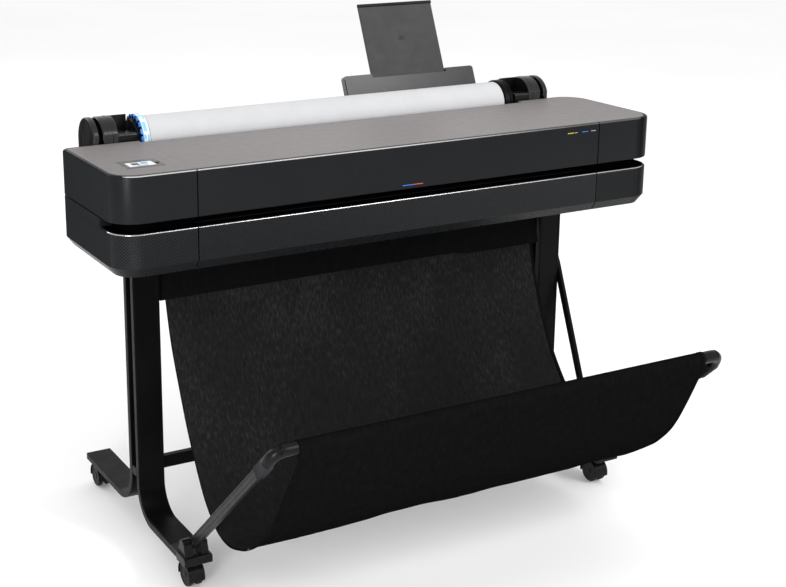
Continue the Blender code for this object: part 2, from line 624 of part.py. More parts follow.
def legs():
    for name, side in (("left", -1), ("right", 1)):
        low, high = sorted((side * (LEG_X - LEG_WIDTH / 2), side * (LEG_X + LEG_WIDTH / 2)))
        bend = arc((FRONT_LEG_Y - 0.070, FRONT_FOOT_Z + 0.070), 0.070, 0, -90, 8)
        path = [(FRONT_LEG_Y, LEG_TOP - 0.004), *bend, (FOOT_FRONT, FRONT_FOOT_Z)]
        leg = add(f"{name}_leg_front", prism(ribbon(path, LEG_THICK), low, high), LEG_PAINT)
        bore = [*path[:-1], (FOOT_FRONT - 0.010, FRONT_FOOT_Z)]
        cut(leg, prism(ribbon(bore, LEG_THICK - 2 * TUBE_WALL), low + TUBE_WALL, high - TUBE_WALL))
        join(leg, block((low - 0.004, 0.188, 0.6605), (high + 0.004, 0.272, LEG_TOP)))
        link_end = REAR_LEG_Y - LEG_THICK / 2 - GAP
        join(leg, block((low, FRONT_LEG_Y, 0.153), (high, link_end, 0.173)))
        join(leg, block((low, FRONT_LEG_Y, 0.628), (high, link_end, 0.652)))
        bend = arc((REAR_LEG_Y + 0.080, REAR_FOOT_Z + 0.080), 0.080, 180, 270, 8)
        path = [(REAR_LEG_Y, 0.6600), *bend, (FOOT_REAR, REAR_FOOT_Z)]
        leg = add(f"{name}_leg_rear", prism(ribbon(path, LEG_THICK), low, high), LEG_PAINT)
        bore = [*path[:-1], (FOOT_REAR + 0.010, REAR_FOOT_Z)]
        cut(leg, prism(ribbon(bore, LEG_THICK - 2 * TUBE_WALL), low + TUBE_WALL, high - TUBE_WALL))
        caster(f"{name}_front_caster", side * LEG_X, FRONT_CASTER_Y)
        caster(f"{name}_rear_caster", side * LEG_X, REAR_CASTER_Y)
    half = LEG_X - LEG_WIDTH / 2 - GAP
    brace = add("cross_brace", block((-half, 0.222, 0.158), (half, 0.238, 0.186)), LEG_PAINT)
    low, high = (-LEG_X, 0.222 + TUBE_WALL, 0.158 + TUBE_WALL), (LEG_X, 0.238 - TUBE_WALL, 0.186 - TUBE_WALL)
    cut(brace, block(low, high))


def caster(name, x, y):
    axle = (y + CASTER_TRAIL, CASTER_RADIUS)
    pivot = (x, y, 0.058)
    hood = arc(axle, 0.0288, -12, 192, 10) + arc(axle, 0.0264, 192, -12, 10)
    fork = add(f"{name}_fork", prism(hood, x - 0.018, x + 0.018), BLACK, pivot)
    web = arc(axle, 0.0275, 0, 180, 8) + [(axle[0] - 0.012, 0.018), (axle[0] + 0.012, 0.018)]
    join(fork, prism(web, x - 0.004, x + 0.004))
    join(fork, prism(circle((x, y), 0.009, 12), 0.0503, 0.0560, "Z"))
    join(fork, prism(circle((x, y), 0.0055, 8), 0.055, 0.0622, "Z"))
    cut(fork, rod(x - 0.006, x + 0.006, axle, 0.0043, 16))
    tread = [(0, 0.0165), (0.021, 0.0165), (0.025, 0.0140), (0.025, 0.0070), (0.022, 0.0045)]
    tread += [(0.004, 0.0045)]
    tread += [(radius, -place) for radius, place in reversed(tread)]
    turned(f"{name}_wheel", tread, (x, *axle), RUBBER, steps=16)


# The bin.


def bin_frame():
    for name, side in (("left", -1), ("right", 1)):
        bin_bracket(f"{name}_bin_bracket", side)
        bin_arm(f"{name}_bin_arm", side)
    half = 0.5117
    bore = circle((BAR_Y, BAR_Z), BAR_RADIUS - TUBE_WALL, 20)
    bar = prism(circle((BAR_Y, BAR_Z), BAR_RADIUS, 20), -half, half, "X", (bore,))
    add("bin_front_bar", bar, LEG_PAINT, (0, PIVOT_Y, PIVOT_Z))
    half = LEG_X - LEG_WIDTH / 2 - GAP
    add("bin_rear_bar", rod(-half, half, (REAR_BAR_Y, REAR_BAR_Z), REAR_BAR_RADIUS), LEG_PAINT)
    stay = ribbon([(0.220, 0.495), (0.049, 0.078)], 0.018, round_ends=True)
    add("bin_stay_rod", prism(stay, 0.5530, 0.5615), LEG_PAINT)


def bin_bracket(name, side):
    base = [(-0.0480, 0.0640), (-0.0400, 0.0632), (FOOT_FRONT - GAP, 0.0632), (FOOT_FRONT - GAP, 0.0785)]
    base += [(0.030, 0.0785), (0.030, 0.0815), (-0.044, 0.0815), (-0.048, 0.078)]
    bracket = add(name, mirrored(side, base, 0.4940, 0.5555), BLACK)
    over = arc((PIVOT_Y, PIVOT_Z), 0.013, 180, 0, 10)
    ear = [(-0.040, 0.0795), *over, (0.002, 0.0835), (0.002, 0.0795)]
    join(bracket, mirrored(side, ear, 0.5312, 0.5505), mirrored(side, ear, 0.4980, 0.5148))
    join(bracket, mirrored(side, circle((PIVOT_Y, PIVOT_Z), 0.004, 16), 0.5050, 0.5420))


def bin_arm(name, side):
    pivot = (side * LEG_X, PIVOT_Y, PIVOT_Z)
    path = [(PIVOT_Y, PIVOT_Z), (ARM_END_Y, ARM_END_Z)]
    strip = ribbon(path, 0.021, round_ends=True)
    arm = add(name, mirrored(side, strip, LEG_X - 0.0055, LEG_X + 0.0055), LEG_PAINT, pivot)
    run = Vector(path[1]) - Vector(path[0])
    start = Vector(path[1]) - run.normalized() * 0.055
    sleeve = ribbon([tuple(start), path[1]], 0.025)
    join(arm, mirrored(side, sleeve, LEG_X - 0.0080, LEG_X + 0.0080))
    neck = ribbon([path[1], (BAR_Y, BAR_Z)], 0.024)
    join(arm, mirrored(side, neck, LEG_X - 0.0075, LEG_X + 0.0075))
    join(arm, mirrored(side, circle((BAR_Y, BAR_Z), 0.0158, 20), 0.5120, 0.5340))
    cut(arm, mirrored(side, circle((PIVOT_Y, PIVOT_Z), 0.0045, 16), 0.50, 0.55))


FABRIC_THICK = 0.003
BACK_CURVE = [(0.2290, 0.6310), (0.213, 0.552), (0.189, 0.487), (0.149, 0.410), (0.105, 0.345)]
BACK_CURVE += [(0.060, 0.285), (0.020, 0.235), (-0.019, 0.190), (-0.060, 0.152), (-0.102, 0.133)]
BACK_CURVE += [(-0.139, 0.1295), (-0.147, 0.1315)]
FRONT_CURVE = [(-0.152, 0.1345), (-0.184, 0.153), (-0.2600, 0.2150), (-0.314, 0.285), (-0.354, 0.357)]
FRONT_CURVE += [(-0.3745, 0.4100), (-0.3772, 0.4268)]


def sleeve_ring(centre, inner, outer):
    hole = circle(centre, inner, 20)
    return prism(circle(centre, outer, 20), -FABRIC_HALF, FABRIC_HALF, "X", (hole,))


def bin_fabric():
    back = prism(ribbon(smooth(BACK_CURVE, 2), FABRIC_THICK), -FABRIC_HALF, FABRIC_HALF)
    back = add("bin_fabric_back", back, FABRIC)
    join(back, sleeve_ring((REAR_BAR_Y, REAR_BAR_Z), REAR_BAR_RADIUS + 0.0004, REAR_BAR_RADIUS + 0.0026))
    front = prism(ribbon(smooth(FRONT_CURVE, 2), FABRIC_THICK), -FABRIC_HALF, FABRIC_HALF)
    front = add("bin_fabric_front", front, FABRIC, (0, PIVOT_Y, PIVOT_Z))
    join(front, sleeve_ring((BAR_Y, BAR_Z), BAR_RADIUS + 0.0004, BAR_RADIUS + 0.0026))


casing()
touch_panel()
chassis()
paper_path()
carriage()
ink_system()
rear()
roll()
sheet_tray()
legs()
bin_frame()
bin_fabric()

for obj in PARTS.objects:
    if obj.type == "MESH":
        obj.data.shade_smooth()
        obj.data.set_sharp_from_angle(angle=math.radians(35))
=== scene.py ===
"""The looks of a large format plotter on its stand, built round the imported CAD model.

Shapes are drawn with Y as the depth behind the casing's front face, and moved to the frame by FRONT.
An outline across the X axis is a list of (Y, Z), and one across Z is a list of (X, Y). Units are metres.
"""

import json
import math

import bmesh
import bpy
from mathutils import Matrix, Vector, noise


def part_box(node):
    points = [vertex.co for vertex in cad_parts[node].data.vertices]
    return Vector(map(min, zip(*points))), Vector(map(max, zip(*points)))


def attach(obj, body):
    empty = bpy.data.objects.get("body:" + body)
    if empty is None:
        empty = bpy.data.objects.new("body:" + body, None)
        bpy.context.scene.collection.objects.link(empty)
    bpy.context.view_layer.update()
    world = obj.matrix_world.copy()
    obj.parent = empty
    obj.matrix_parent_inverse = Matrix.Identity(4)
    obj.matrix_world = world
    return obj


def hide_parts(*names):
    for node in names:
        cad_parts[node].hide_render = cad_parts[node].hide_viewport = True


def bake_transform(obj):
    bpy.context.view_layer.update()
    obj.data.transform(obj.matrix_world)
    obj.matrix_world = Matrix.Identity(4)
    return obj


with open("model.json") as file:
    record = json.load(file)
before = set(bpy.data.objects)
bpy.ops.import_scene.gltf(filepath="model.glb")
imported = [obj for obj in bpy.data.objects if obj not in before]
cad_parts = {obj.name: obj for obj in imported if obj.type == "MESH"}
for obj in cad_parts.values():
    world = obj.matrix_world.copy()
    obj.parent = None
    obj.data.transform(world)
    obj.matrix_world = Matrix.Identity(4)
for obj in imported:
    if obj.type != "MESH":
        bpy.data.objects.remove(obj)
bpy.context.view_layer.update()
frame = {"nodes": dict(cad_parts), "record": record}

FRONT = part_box("lower_front_cover")[0].y
HALF_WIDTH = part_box("right_lower_end_cover")[1].x
SIDES = (("left", -1), ("right", 1))


# Meshes: each shape is added to the mesh that is given, or to a new one.


def arc(centre, radius, start, end, steps):
    """Points on an arc, with its angles in degrees."""
    angles = [math.radians(start + (end - start) * i / steps) for i in range(steps + 1)]
    return [(centre[0] + radius * math.cos(a), centre[1] + radius * math.sin(a)) for a in angles]


def circle(centre, radius, steps):
    return arc(centre, radius, 0, 360, steps)[:-1]


def axes(along):
    """Turns a flat outline's (u, v) and its place w along an axis into a point."""
    return {
        "X": lambda u, v, w: (w, u, v),
        "Y": lambda u, v, w: (u, w, v),
        "Z": lambda u, v, w: (u, v, w),
    }[along]


def loft(rings, closed=True, capped=True, mesh=None):
    """A skin through rings that have the same number of points."""
    if mesh is None:
        mesh = bmesh.new()
    rows = [[mesh.verts.new(point) for point in ring] for ring in rings]
    count = len(rows[0])
    for low, high in zip(rows, rows[1:]):
        for i in range(count if closed else count - 1):
            j = (i + 1) % count
            mesh.faces.new((low[i], low[j], high[j], high[i]))
    if capped:
        mesh.faces.new(rows[0][::-1])
        mesh.faces.new(rows[-1])
    return mesh


def prism(outline, start, end, along="X", mesh=None):
    """A flat outline drawn across an axis and pushed along it."""
    point = axes(along)
    return loft([[point(u, v, w) for u, v in outline] for w in (start, end)], mesh=mesh)


def block(low, high, mesh=None):
    (x0, y0, z0), (x1, y1, z1) = low, high
    return prism([(x0, y0), (x1, y0), (x1, y1), (x0, y1)], z0, z1, "Z", mesh)


def turned(profile, centre, along="X", steps=72, ring=False, mesh=None):
    """A turned shape: (radius, place along the axis) points; a ring's profile closes on itself."""
    point = axes(along)
    if not ring:
        profile = [(max(radius, 1e-5), place) for radius, place in profile]
    rings = []
    for radius, place in profile:
        rings.append([Vector(centre) + Vector(point(u, v, place)) for u, v in circle((0, 0), radius, steps)])
    return loft(rings + rings[:1] if ring else rings, capped=not ring, mesh=mesh)


def tube(path, radius, steps=16, taper=0, thinnest=0.15):
    """A round tube along a path of points; its last `taper` rings grow thinner."""
    rings = []
    for i, place in enumerate(path):
        run = Vector(path[min(i + 1, len(path) - 1)]) - Vector(path[max(i - 1, 0)])
        side = run.cross(Vector((0, 0, 1)) if abs(run.normalized().z) < 0.9 else Vector((1, 0, 0)))
        side.normalize()
        up = side.cross(run).normalized()
        left = len(path) - 1 - i
        share = thinnest + (1 - thinnest) * left / taper if left < taper else 1.0
        rings.append([Vector(place) + side * u + up * v for u, v in circle((0, 0), radius * share, steps)])
    return loft(rings)


def ribbon(path, width):
    """The outline of a strip of even width along a path."""
    left, right = [], []
    for i, (u, v) in enumerate(path):
        run = (Vector(path[min(i + 1, len(path) - 1)]) - Vector(path[max(i - 1, 0)])).normalized()
        side = Vector((-run.y, run.x)) * width / 2
        left.append((u + side.x, v + side.y))
        right.append((u - side.x, v - side.y))
    return left + right[::-1]


def crossways(run):
    """The direction square to a flat run, and that direction's angle in degrees."""
    across = Vector((-run.y, run.x))
    return across, math.degrees(math.atan2(across.y, across.x))


def rails(mesh, start, end, across, widths, near, far):
    """Adds straight rails from start to end, each with its offset across their run and its width."""
    for offset, width in widths:
        path = [tuple(start + across * offset), tuple(end + across * offset)]
        prism(ribbon(path, width), near, far, mesh=mesh)


def smooth(points, steps):
    """A Catmull-Rom curve through points of any dimension."""
    ends = [points[0], *points, points[-1]]
    curve = []
    for span in zip(ends, ends[1:], ends[2:], ends[3:]):
        for i in range(steps):
            t = i / steps
            weights = (-t + 2 * t**2 - t**3, 2 - 5 * t**2 + 3 * t**3, t + 4 * t**2 - 3 * t**3, t**3 - t**2)
            curve.append(tuple(sum(w * p[k] for w, p in zip(weights, span)) / 2 for k in range(len(span[0]))))
    return [*curve, points[-1]]


def placed(name, data):
    """Puts a mesh, a light or a camera in the scene."""
    obj = bpy.data.objects.new(name, data)
    bpy.context.scene.collection.objects.link(obj)
    return obj


def rounded(obj, bevel, segments, sharp):
    """Rounds the edges where faces meet at more than an angle."""
    edge = obj.modifiers.new("Edges", "BEVEL")
    edge.width = bevel
    edge.segments = segments
    edge.limit_method = "ANGLE"
    edge.angle_limit = math.radians(sharp)
    edge.harden_normals = True


def piece(name, mesh, look, slot, body="root", bevel=0.0, segments=3, sharp=32, stands_for=()):
    """Makes a mesh a piece of the object: rounded at its edges, in its look, on its body."""
    bmesh.ops.remove_doubles(mesh, verts=mesh.verts, dist=1e-7)
    bmesh.ops.recalc_face_normals(mesh, faces=mesh.faces)
    data = bpy.data.meshes.new(name)
    mesh.to_mesh(data)
    mesh.free()
    data.transform(Matrix.Translation((0, FRONT, 0)))
    data.materials.append(look)
    data.shade_smooth()
    data.set_sharp_from_angle(angle=math.radians(sharp))
    obj = placed(name, data)
    if bevel:
        rounded(obj, bevel, segments, sharp)
    if body:
        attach(obj, body)
    if stands_for:
        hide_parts(*stands_for)
    return obj


# Materials.

LINES_PER_SCALE = 0.314  # a wave texture's period times its scale


class Look:
    """A node material under construction. In the names of inputs, an underscore stands for a space."""

    def __init__(self, name, coordinates="Object"):
        self.material = bpy.data.materials.new(name)
        self.material.use_nodes = True
        self.tree = self.material.node_tree
        self.places = self.node("ShaderNodeTexCoord").outputs
        self.place = self.places[coordinates]

    def feed(self, target, value):
        """Connects another node's output to an input, or sets the input to a plain value."""
        if isinstance(value, bpy.types.NodeSocket):
            self.tree.links.new(value, target)
        else:
            target.default_value = value

    def node(self, kind, **settings):
        made = self.tree.nodes.new(kind)
        for key, value in settings.items():
            if key.replace("_", " ") in made.inputs:
                self.feed(made.inputs[key.replace("_", " ")], value)
            else:
                setattr(made, key, value)
        return made

    def noise(self, scale, detail=2.0, stretch=None):
        place = self.place
        if stretch:
            place = self.node("ShaderNodeMapping", Scale=stretch, Vector=place).outputs["Vector"]
        return self.node("ShaderNodeTexNoise", Scale=scale, Detail=detail, Vector=place).outputs["Fac"]

    def waves(self, place, direction, period):
        kinds = {"wave_type": "BANDS", "bands_direction": direction}
        made = self.node("ShaderNodeTexWave", **kinds, Scale=LINES_PER_SCALE / period, Vector=place)
        return made.outputs["Fac"]

    def along(self, axis, coordinates="Object"):
        """How far each point lies along an axis."""
        return self.node("ShaderNodeSeparateXYZ", Vector=self.places[coordinates]).outputs[axis]

    def ramp(self, value, low, high, start=0.35, end=0.65):
        """A value turned into a colour between two, over the middle of its range."""
        made = self.node("ShaderNodeValToRGB", Fac=value)
        for element, position, colour in zip(made.color_ramp.elements, (start, end), (low, high)):
            element.position = position
            element.color = (*colour, 1.0)
        return made.outputs["Color"]

    def between(self, value, low, high, start=0.3, end=0.7):
        """A value turned into a number between two, over the middle of its range."""
        span = {"From_Min": start, "From_Max": end, "To_Min": low, "To_Max": high}
        return self.node("ShaderNodeMapRange", **span, Value=value).outputs["Result"]

    def math(self, operation, *values):
        made = self.node("ShaderNodeMath", operation=operation)
        for socket, value in zip(made.inputs, values):
            self.feed(socket, value)
        return made.outputs["Value"]

    def shade(self, **inputs):
        for name, value in inputs.items():
            self.feed(self.tree.nodes["Principled BSDF"].inputs[name.replace("_", " ")], value)
        return self.material

    def finish(self, tone, rough, height, depth, gloss=0.5, metal=0.0):
        """Connects a tone, a roughness and a relief to the shader, and gives the material."""
        relief = self.node("ShaderNodeBump", Distance=depth, Height=height).outputs["Normal"]
        self.shade(Base_Color=tone, Roughness=rough, Normal=relief)
        return self.shade(Specular_IOR_Level=gloss, Metallic=metal)


def right_end_painted_shade(look, tone, gloss, left=0.3, start=0.0640, end=0.0465):
    """Painted shade: a tone and a gloss that both fall round the casing's right end, where little light
    falls.
    """
    fade = look.between(look.along("X"), 1.0, left, HALF_WIDTH - start, HALF_WIDTH - end)
    dark = look.node("ShaderNodeVectorMath", operation="SCALE", Vector=tone, Scale=fade)
    return dark.outputs["Vector"], look.math("MULTIPLY", fade, gloss)


def surface(name, dark, light, rough, spread=0.06, grain=1400, depth=0.00008, patch=9, metal=0.0,
            gloss=0.5, right_end_shade=False):
    """A moulded, painted or plated surface: fine grain, and a slow drift in colour and gloss. When asked, it
    also takes a painted shade round the casing's right end.
    """
    look = Look(name)
    tone = look.ramp(look.noise(patch, 4.0), dark, light)
    if right_end_shade:
        tone, gloss = right_end_painted_shade(look, tone, gloss)
    wear = look.between(look.noise(patch * 5, 3.0), rough - spread, rough + spread)
    return look.finish(tone, wear, look.noise(grain), depth, gloss, metal)


def hatched(name, dark, light, rough, depth, gloss, period=0.0044):
    """Moulded plastic with fine diagonal lines that run round the corners, drawn along its UV map. The lines
    are a fine relief, and their light and dark tone is painted shading of that relief. The tone also takes
    the painted shade round the casing's right end.
    """
    look = Look(name, "UV")
    turn = look.node("ShaderNodeMapping", Rotation=(0, 0, math.radians(45)), Vector=look.place)
    lines = look.waves(turn.outputs["Vector"], "X", period)
    height = look.math("ADD", lines, look.math("MULTIPLY", look.noise(1500), 0.35))
    tone, shine = right_end_painted_shade(look, look.ramp(lines, dark, light, 0.15, 0.85), gloss)
    wear = look.between(look.noise(50, 3.0), rough - 0.04, rough + 0.05)
    return look.finish(tone, wear, height, depth, shine)


def painted_light_gradient(name, left, right, start, end, rough, gloss=0.3, even=False):
    """A surface whose tone drifts from its left side to its right, or from its middle to both ends: a painted
    gradient of light and shade, with a little random variation.
    """
    look = Look(name)
    across = look.math("ABSOLUTE", look.along("X")) if even else look.along("X")
    drift = look.math("ADD", across, look.math("MULTIPLY", look.noise(12, 3.0), 0.05))
    wear = look.between(look.noise(60, 3.0), rough - 0.04, rough + 0.04)
    return look.finish(look.ramp(drift, left, right, start, end), wear, look.noise(1300), 0.00012, gloss)


def streaked(name, dark, light):
    """A matt moulded face with soft upright streaks."""
    look = Look(name)
    tone = look.ramp(look.noise(150, 2.0, (1, 1, 0.12)), dark, light, 0.40, 0.66)
    wear = look.between(look.noise(60, 3.0), 0.5, 0.6)
    return look.finish(tone, wear, look.noise(1300), 0.00006, gloss=0.0)


def lit(name, colour, strength):
    """A lit part of the screen: its glow has the faint mesh of a display's pixels."""
    look = Look(name)
    glow = look.ramp(look.noise(2600, 1.0), tuple(0.86 * c for c in colour), colour)
    look.shade(Base_Color=(0.02, 0.02, 0.02, 1), Roughness=0.2)
    return look.shade(Emission_Color=glow, Emission_Strength=strength)


def woven(name, dark, light, worn, gloss, thread=0.0009):
    """Plain woven cloth: a fine weave and a mottle of paler worn fibres, which fades along the sheet."""
    look = Look(name, "UV")
    tone = look.ramp(look.noise(120, 5.0, (1, 0.35, 1)), dark, light, 0.30, 0.74)
    patches = look.math("MULTIPLY", look.noise(7, 3.0, (1, 0.5, 1)), 0.5)
    wear = look.math("ADD", look.noise(260, 6.0, (1, 0.25, 1)), patches)
    wear = look.math("SUBTRACT", wear, look.math("MULTIPLY", look.along("Y", "UV"), 0.30))
    fibres = look.ramp(wear, (0, 0, 0), worn, 0.66, 1.08)
    mix = look.node("ShaderNodeMix", data_type="RGBA", blend_type="ADD", Factor=1.0, A=tone, B=fibres)
    threads = look.math("ADD", *(look.waves(look.place, direction, thread) for direction in "XY"))
    rough = look.between(look.noise(60, 3.0), 0.72, 0.88)
    return look.finish(mix.outputs["Result"], rough, threads, 0.00018, gloss)


def paper():
    """Bright paper: a faint mottle and fibres, and a very slight bump."""
    look = Look("paper")
    tone = look.ramp(look.noise(26, 5.0), (0.53, 0.533, 0.546), (0.55, 0.553, 0.567))
    wear = look.between(look.noise(90), 0.55, 0.68)
    return look.finish(tone, wear, look.noise(700, 4.0, (1, 6, 6)), 0.00004)


def grey(tone, blue=None):
    """A plain grey, or one with its own share of blue."""
    return (tone, tone, blue or tone)


# The casing and its lid
# The casing's black and every hatched black darken round the casing's right end: painted shade.
CASING = surface("casing_black", (0.0085, 0.009, 0.0098), (0.0093, 0.0098, 0.0107), 0.30, 0.03,
                 grain=1700, gloss=0.07, right_end_shade=True)
# Copies of the casing blacks for the flat outer sides, lighter and without reflection: painted light.
CASING_SIDE = surface("casing_side_painted_light", (0.0156, 0.0162, 0.0173), (0.0168, 0.0175, 0.0187), 0.6,
                      grain=1700, gloss=0.0)
HATCH = hatched("casing_hatched", (0.0035, 0.0038, 0.0042), (0.0165, 0.0173, 0.0186), 0.28, 0.0006, 0.08)
HATCH_SIDE = hatched("hatched_side_painted_light", (0.0117, 0.0122, 0.013), (0.0207, 0.0215, 0.023), 0.6, 0.0002, 0.0)
# The lid plate darkens from its middle towards both ends: painted shade.
LID = painted_light_gradient("lid_warm_grey", (0.218, 0.199, 0.2), (0.184, 0.167, 0.168), 0.20, 0.66, 0.48, 0.15, True)
# Painted highlights: a light line along the lid's front edge that fades towards its right end, and a bright
# metal line along the slot's lip.
LID_EDGE_HIGHLIGHT = painted_light_gradient("lid_edge_painted_highlight", grey(0.33), grey(0.045), 0.0, 0.44, 0.24, 0.5)
LIP_HIGHLIGHT = surface("lip_painted_highlight", grey(0.4, 0.41), grey(0.48, 0.49), 0.22, 0.04, depth=0.00002, metal=1.0)
# Near-black for dark joints and, in hollows and gaps, for painted shade.
JOINT_AND_SHADE_BLACK = surface("shadow_gap", grey(0.0008), grey(0.0014), 0.8, gloss=0.0)
PLATEN = surface("platen_moulding", grey(0.006, 0.0065), grey(0.009, 0.0095), 0.7, grain=900, gloss=0.0)

# The panel and the marks
PANEL = surface("panel_frame", grey(0.02, 0.021), grey(0.026, 0.027), 0.22, 0.03, depth=0.00002, gloss=0.2)
LIT = lit("lit_white", (0.92, 0.94, 0.96), 0.85)
LIT_BLUE = lit("lit_blue", (0.05, 0.26, 0.62), 0.9)
YELLOW = surface("yellow_ink", (0.55, 0.42, 0.03), (0.62, 0.48, 0.05), 0.5)
RED = surface("red_light", (0.45, 0.06, 0.05), (0.52, 0.08, 0.06), 0.5)
PALE = surface("pale_ink", grey(0.3, 0.31), grey(0.36, 0.37), 0.5)

# The roll, its holders and the tray
PAPER = paper()
CARD = surface("cardboard", (0.3, 0.205, 0.12), (0.44, 0.32, 0.2), 0.85, patch=120, depth=0.0002)
BLUE = surface("hub_blue", (0.01, 0.145, 0.5), (0.02, 0.19, 0.58), 0.34)
PALE_BLUE = surface("collar_blue", (0.18, 0.48, 0.82), (0.26, 0.56, 0.88), 0.38)
WHITE = surface("collar_white", (0.7, 0.78, 0.84), (0.8, 0.86, 0.9), 0.36)
BLACK = surface("black_moulding", grey(0.003, 0.0033), grey(0.0045, 0.0049), 0.26, gloss=0.12)
HOLDER = surface("holder_black", grey(0.0035, 0.0038), grey(0.0055, 0.0059), 0.22, 0.03, depth=0.00003,
                 gloss=0.36)
HOLDER_FACE = streaked("holder_face", grey(0.012, 0.0125), (0.025, 0.0245, 0.025))
# The tray darkens from its left side to its right: painted shade.
TRAY = painted_light_gradient("tray_grey", (0.104, 0.101, 0.102), (0.036, 0.035, 0.037), 0.20, 0.47, 0.5)
EXTENSION = surface("extension_grey", grey(0.036, 0.0373), grey(0.042, 0.0435), 0.50, grain=1300,
                    depth=0.00012, gloss=0.2)
GRIP = surface("tray_dark_lip", grey(0.01, 0.011), grey(0.016, 0.017), 0.45, gloss=0.1)

# The stand and the bin
STEEL = surface("zinc_plate", grey(0.42, 0.44), grey(0.6, 0.62), 0.34, 0.08, patch=60, metal=1.0)
RUBBER = surface("rubber", grey(0.004), grey(0.007), 0.55, patch=40, depth=0.0002, gloss=0.2)
PAINT = surface("leg_paint", grey(0.0022, 0.0023), grey(0.0034, 0.0035), 0.34, grain=900, depth=0.0001,
                gloss=0.05)
ARM_PAINT = surface("arm_paint", grey(0.01, 0.0104), grey(0.014, 0.0145), 0.34, grain=900, depth=0.0001,
                    gloss=0.09)
SLEEVE_GRIP = surface("sleeve_grip", grey(0.015, 0.0165), grey(0.026, 0.028), 0.7, grain=700, depth=0.0004,
                      gloss=0.05)
CLOTH = woven("bin_cloth", grey(0.0075), grey(0.0125, 0.0127), (0.018, 0.019, 0.02), 0.05)
# A darker copy of the cloth for its outer face, which shows on the bin's front panel: painted shade.
CLOTH_OUTSIDE_SHADED = woven("bin_cloth_outside_painted_shade", grey(0.0042), grey(0.0064, 0.0065), grey(0.004), 0.0)
DARK_BAND_CLOTH = woven("bin_dark_band_cloth", grey(0.003), grey(0.0045), grey(0.001), 0.03)

CAD_LOOKS = {
    "casing": CASING,
    "lid": LID,
    "black_plastic": BLACK,
    "screen": PANEL,
    "zinc_steel": STEEL,
    "leg_paint": PAINT,
    "rubber": RUBBER,
    "paper": PAPER,
    "cardboard": CARD,
    "hub_blue": BLUE,
    "collar_white": WHITE,
    "tray_grey": TRAY,
    "bin_fabric": RUBBER,
}


def smoothing(angle):
    """A modifier that shades faces smooth where they meet at less than an angle."""
    tree = bpy.data.node_groups.new("smooth_by_angle", "GeometryNodeTree")
    for way in ("INPUT", "OUTPUT"):
        tree.interface.new_socket("Geometry", in_out=way, socket_type="NodeSocketGeometry")
    start, end, faces, edges, bend, gentle = (
        tree.nodes.new(kind)
        for kind in ("NodeGroupInput", "NodeGroupOutput", "GeometryNodeSetShadeSmooth",
                     "GeometryNodeSetShadeSmooth", "GeometryNodeInputMeshEdgeAngle", "FunctionNodeCompare")
    )
    edges.domain = "EDGE"
    gentle.operation = "LESS_EQUAL"
    gentle.inputs["B"].default_value = angle
    for source, output, target, socket in (
        (bend, "Unsigned Angle", gentle, "A"),
        (gentle, "Result", edges, "Shade Smooth"),
        (start, "Geometry", faces, "Geometry"),
        (faces, "Geometry", edges, "Geometry"),
        (edges, "Geometry", end, "Geometry"),
    ):
        tree.links.new(source.outputs[output], target.inputs[socket])
    return tree


SMOOTHING = smoothing(math.radians(32))
for part in frame["record"]["subparts"]:
    node = frame["nodes"][part["node"]]
    node.data.materials.clear()
    node.data.materials.append(PLATEN if part["node"] == "platen" else CAD_LOOKS[part["material_slot"]])
    weld = node.modifiers.new("Weld", "WELD")
    weld.merge_threshold = 1e-6
    node.modifiers.new("Smooth", "NODES").node_group = SMOOTHING


# The casing.

SEAM = 0.489  # the joints between the middle and the ends
SEAM_GAP = 0.0013
DEPTH = 0.3125
LID_DEPTH = 0.2875
CORNER = 0.058
REAR_CORNERS = {-1: 0.020, 1: 0.058}
CORNER_STEPS = 20
BOTTOM, CHAMFER_TOP, CHAMFER_DEPTH = 0.6675, 0.6875, 0.015
LOWER_TOP, UPPER_BOTTOM, TOP = 0.756, 0.776, 0.871
EDGE, EDGE_STEPS = 0.005, 8
FOOT = ((0.003, 0), (0.0012, 0.0004), (0.0003, 0.0014), (0, 0.003))  # inset and rise under the lid's edge
SLOT_END, SLOT_INSET, SIDE_SEAM = 0.09, 0.025, 0.7745
SLOT_FLOOR = (LOWER_TOP - 0.001, LOWER_TOP + 0.0003)
SLOT_ROUND = 0.007
LAP = 0.002  # how far a hidden wall runs on behind what covers it
WALL, RISE_WALL = 0.003, 0.004
RIM_WIDTH, RIM_DROP = 0.0072, 0.0004
PLATE_INSET, PLATE_GAP, PLATE_THICK = 0.009, 0.0001, 0.0012
PLATE_LOW = TOP - PLATE_THICK - 0.0005
SIDE_SKIN = 0.003  # how far in from the side a face still counts as the flat side
SHELL_EDGE = {"bevel": 0.0005, "segments": 2, "sharp": 28}


def end_plan(side, inset, height):
    """One end of the casing in plan, from the seam's front round both corners to its rear."""
    outer = HALF_WIDTH - inset
    front, rear = CORNER - inset, REAR_CORNERS[side] - inset
    plan = [(SEAM + SEAM_GAP, inset), *arc((outer - front, inset + front), front, -90, 0, CORNER_STEPS)]
    plan += arc((outer - rear, DEPTH - inset - rear), rear, 0, 90, CORNER_STEPS)
    plan.append((SEAM + SEAM_GAP, DEPTH - inset))
    return [(side * x, y, height) for x, y in plan]


def edge_rings(side, top):
    """The plans of a rounded edge, from the side up to the top."""
    angles = [math.pi / 2 * i / EDGE_STEPS for i in range(EDGE_STEPS + 1)]
    steps = [(EDGE * (1 - math.cos(a)), EDGE * (1 - math.sin(a))) for a in angles]
    return [end_plan(side, inset, top - drop) for inset, drop in steps]


def around(x, y):
    """How far a point lies along the casing's outline from the middle of its front."""
    middle = HALF_WIDTH - CORNER
    if abs(x) <= middle:
        return x
    side = math.copysign(1, x)
    if y >= CORNER:
        return side * (middle + CORNER * math.pi / 2 + y - CORNER)
    return side * (middle + CORNER * math.atan2(abs(x) - middle, CORNER - y))


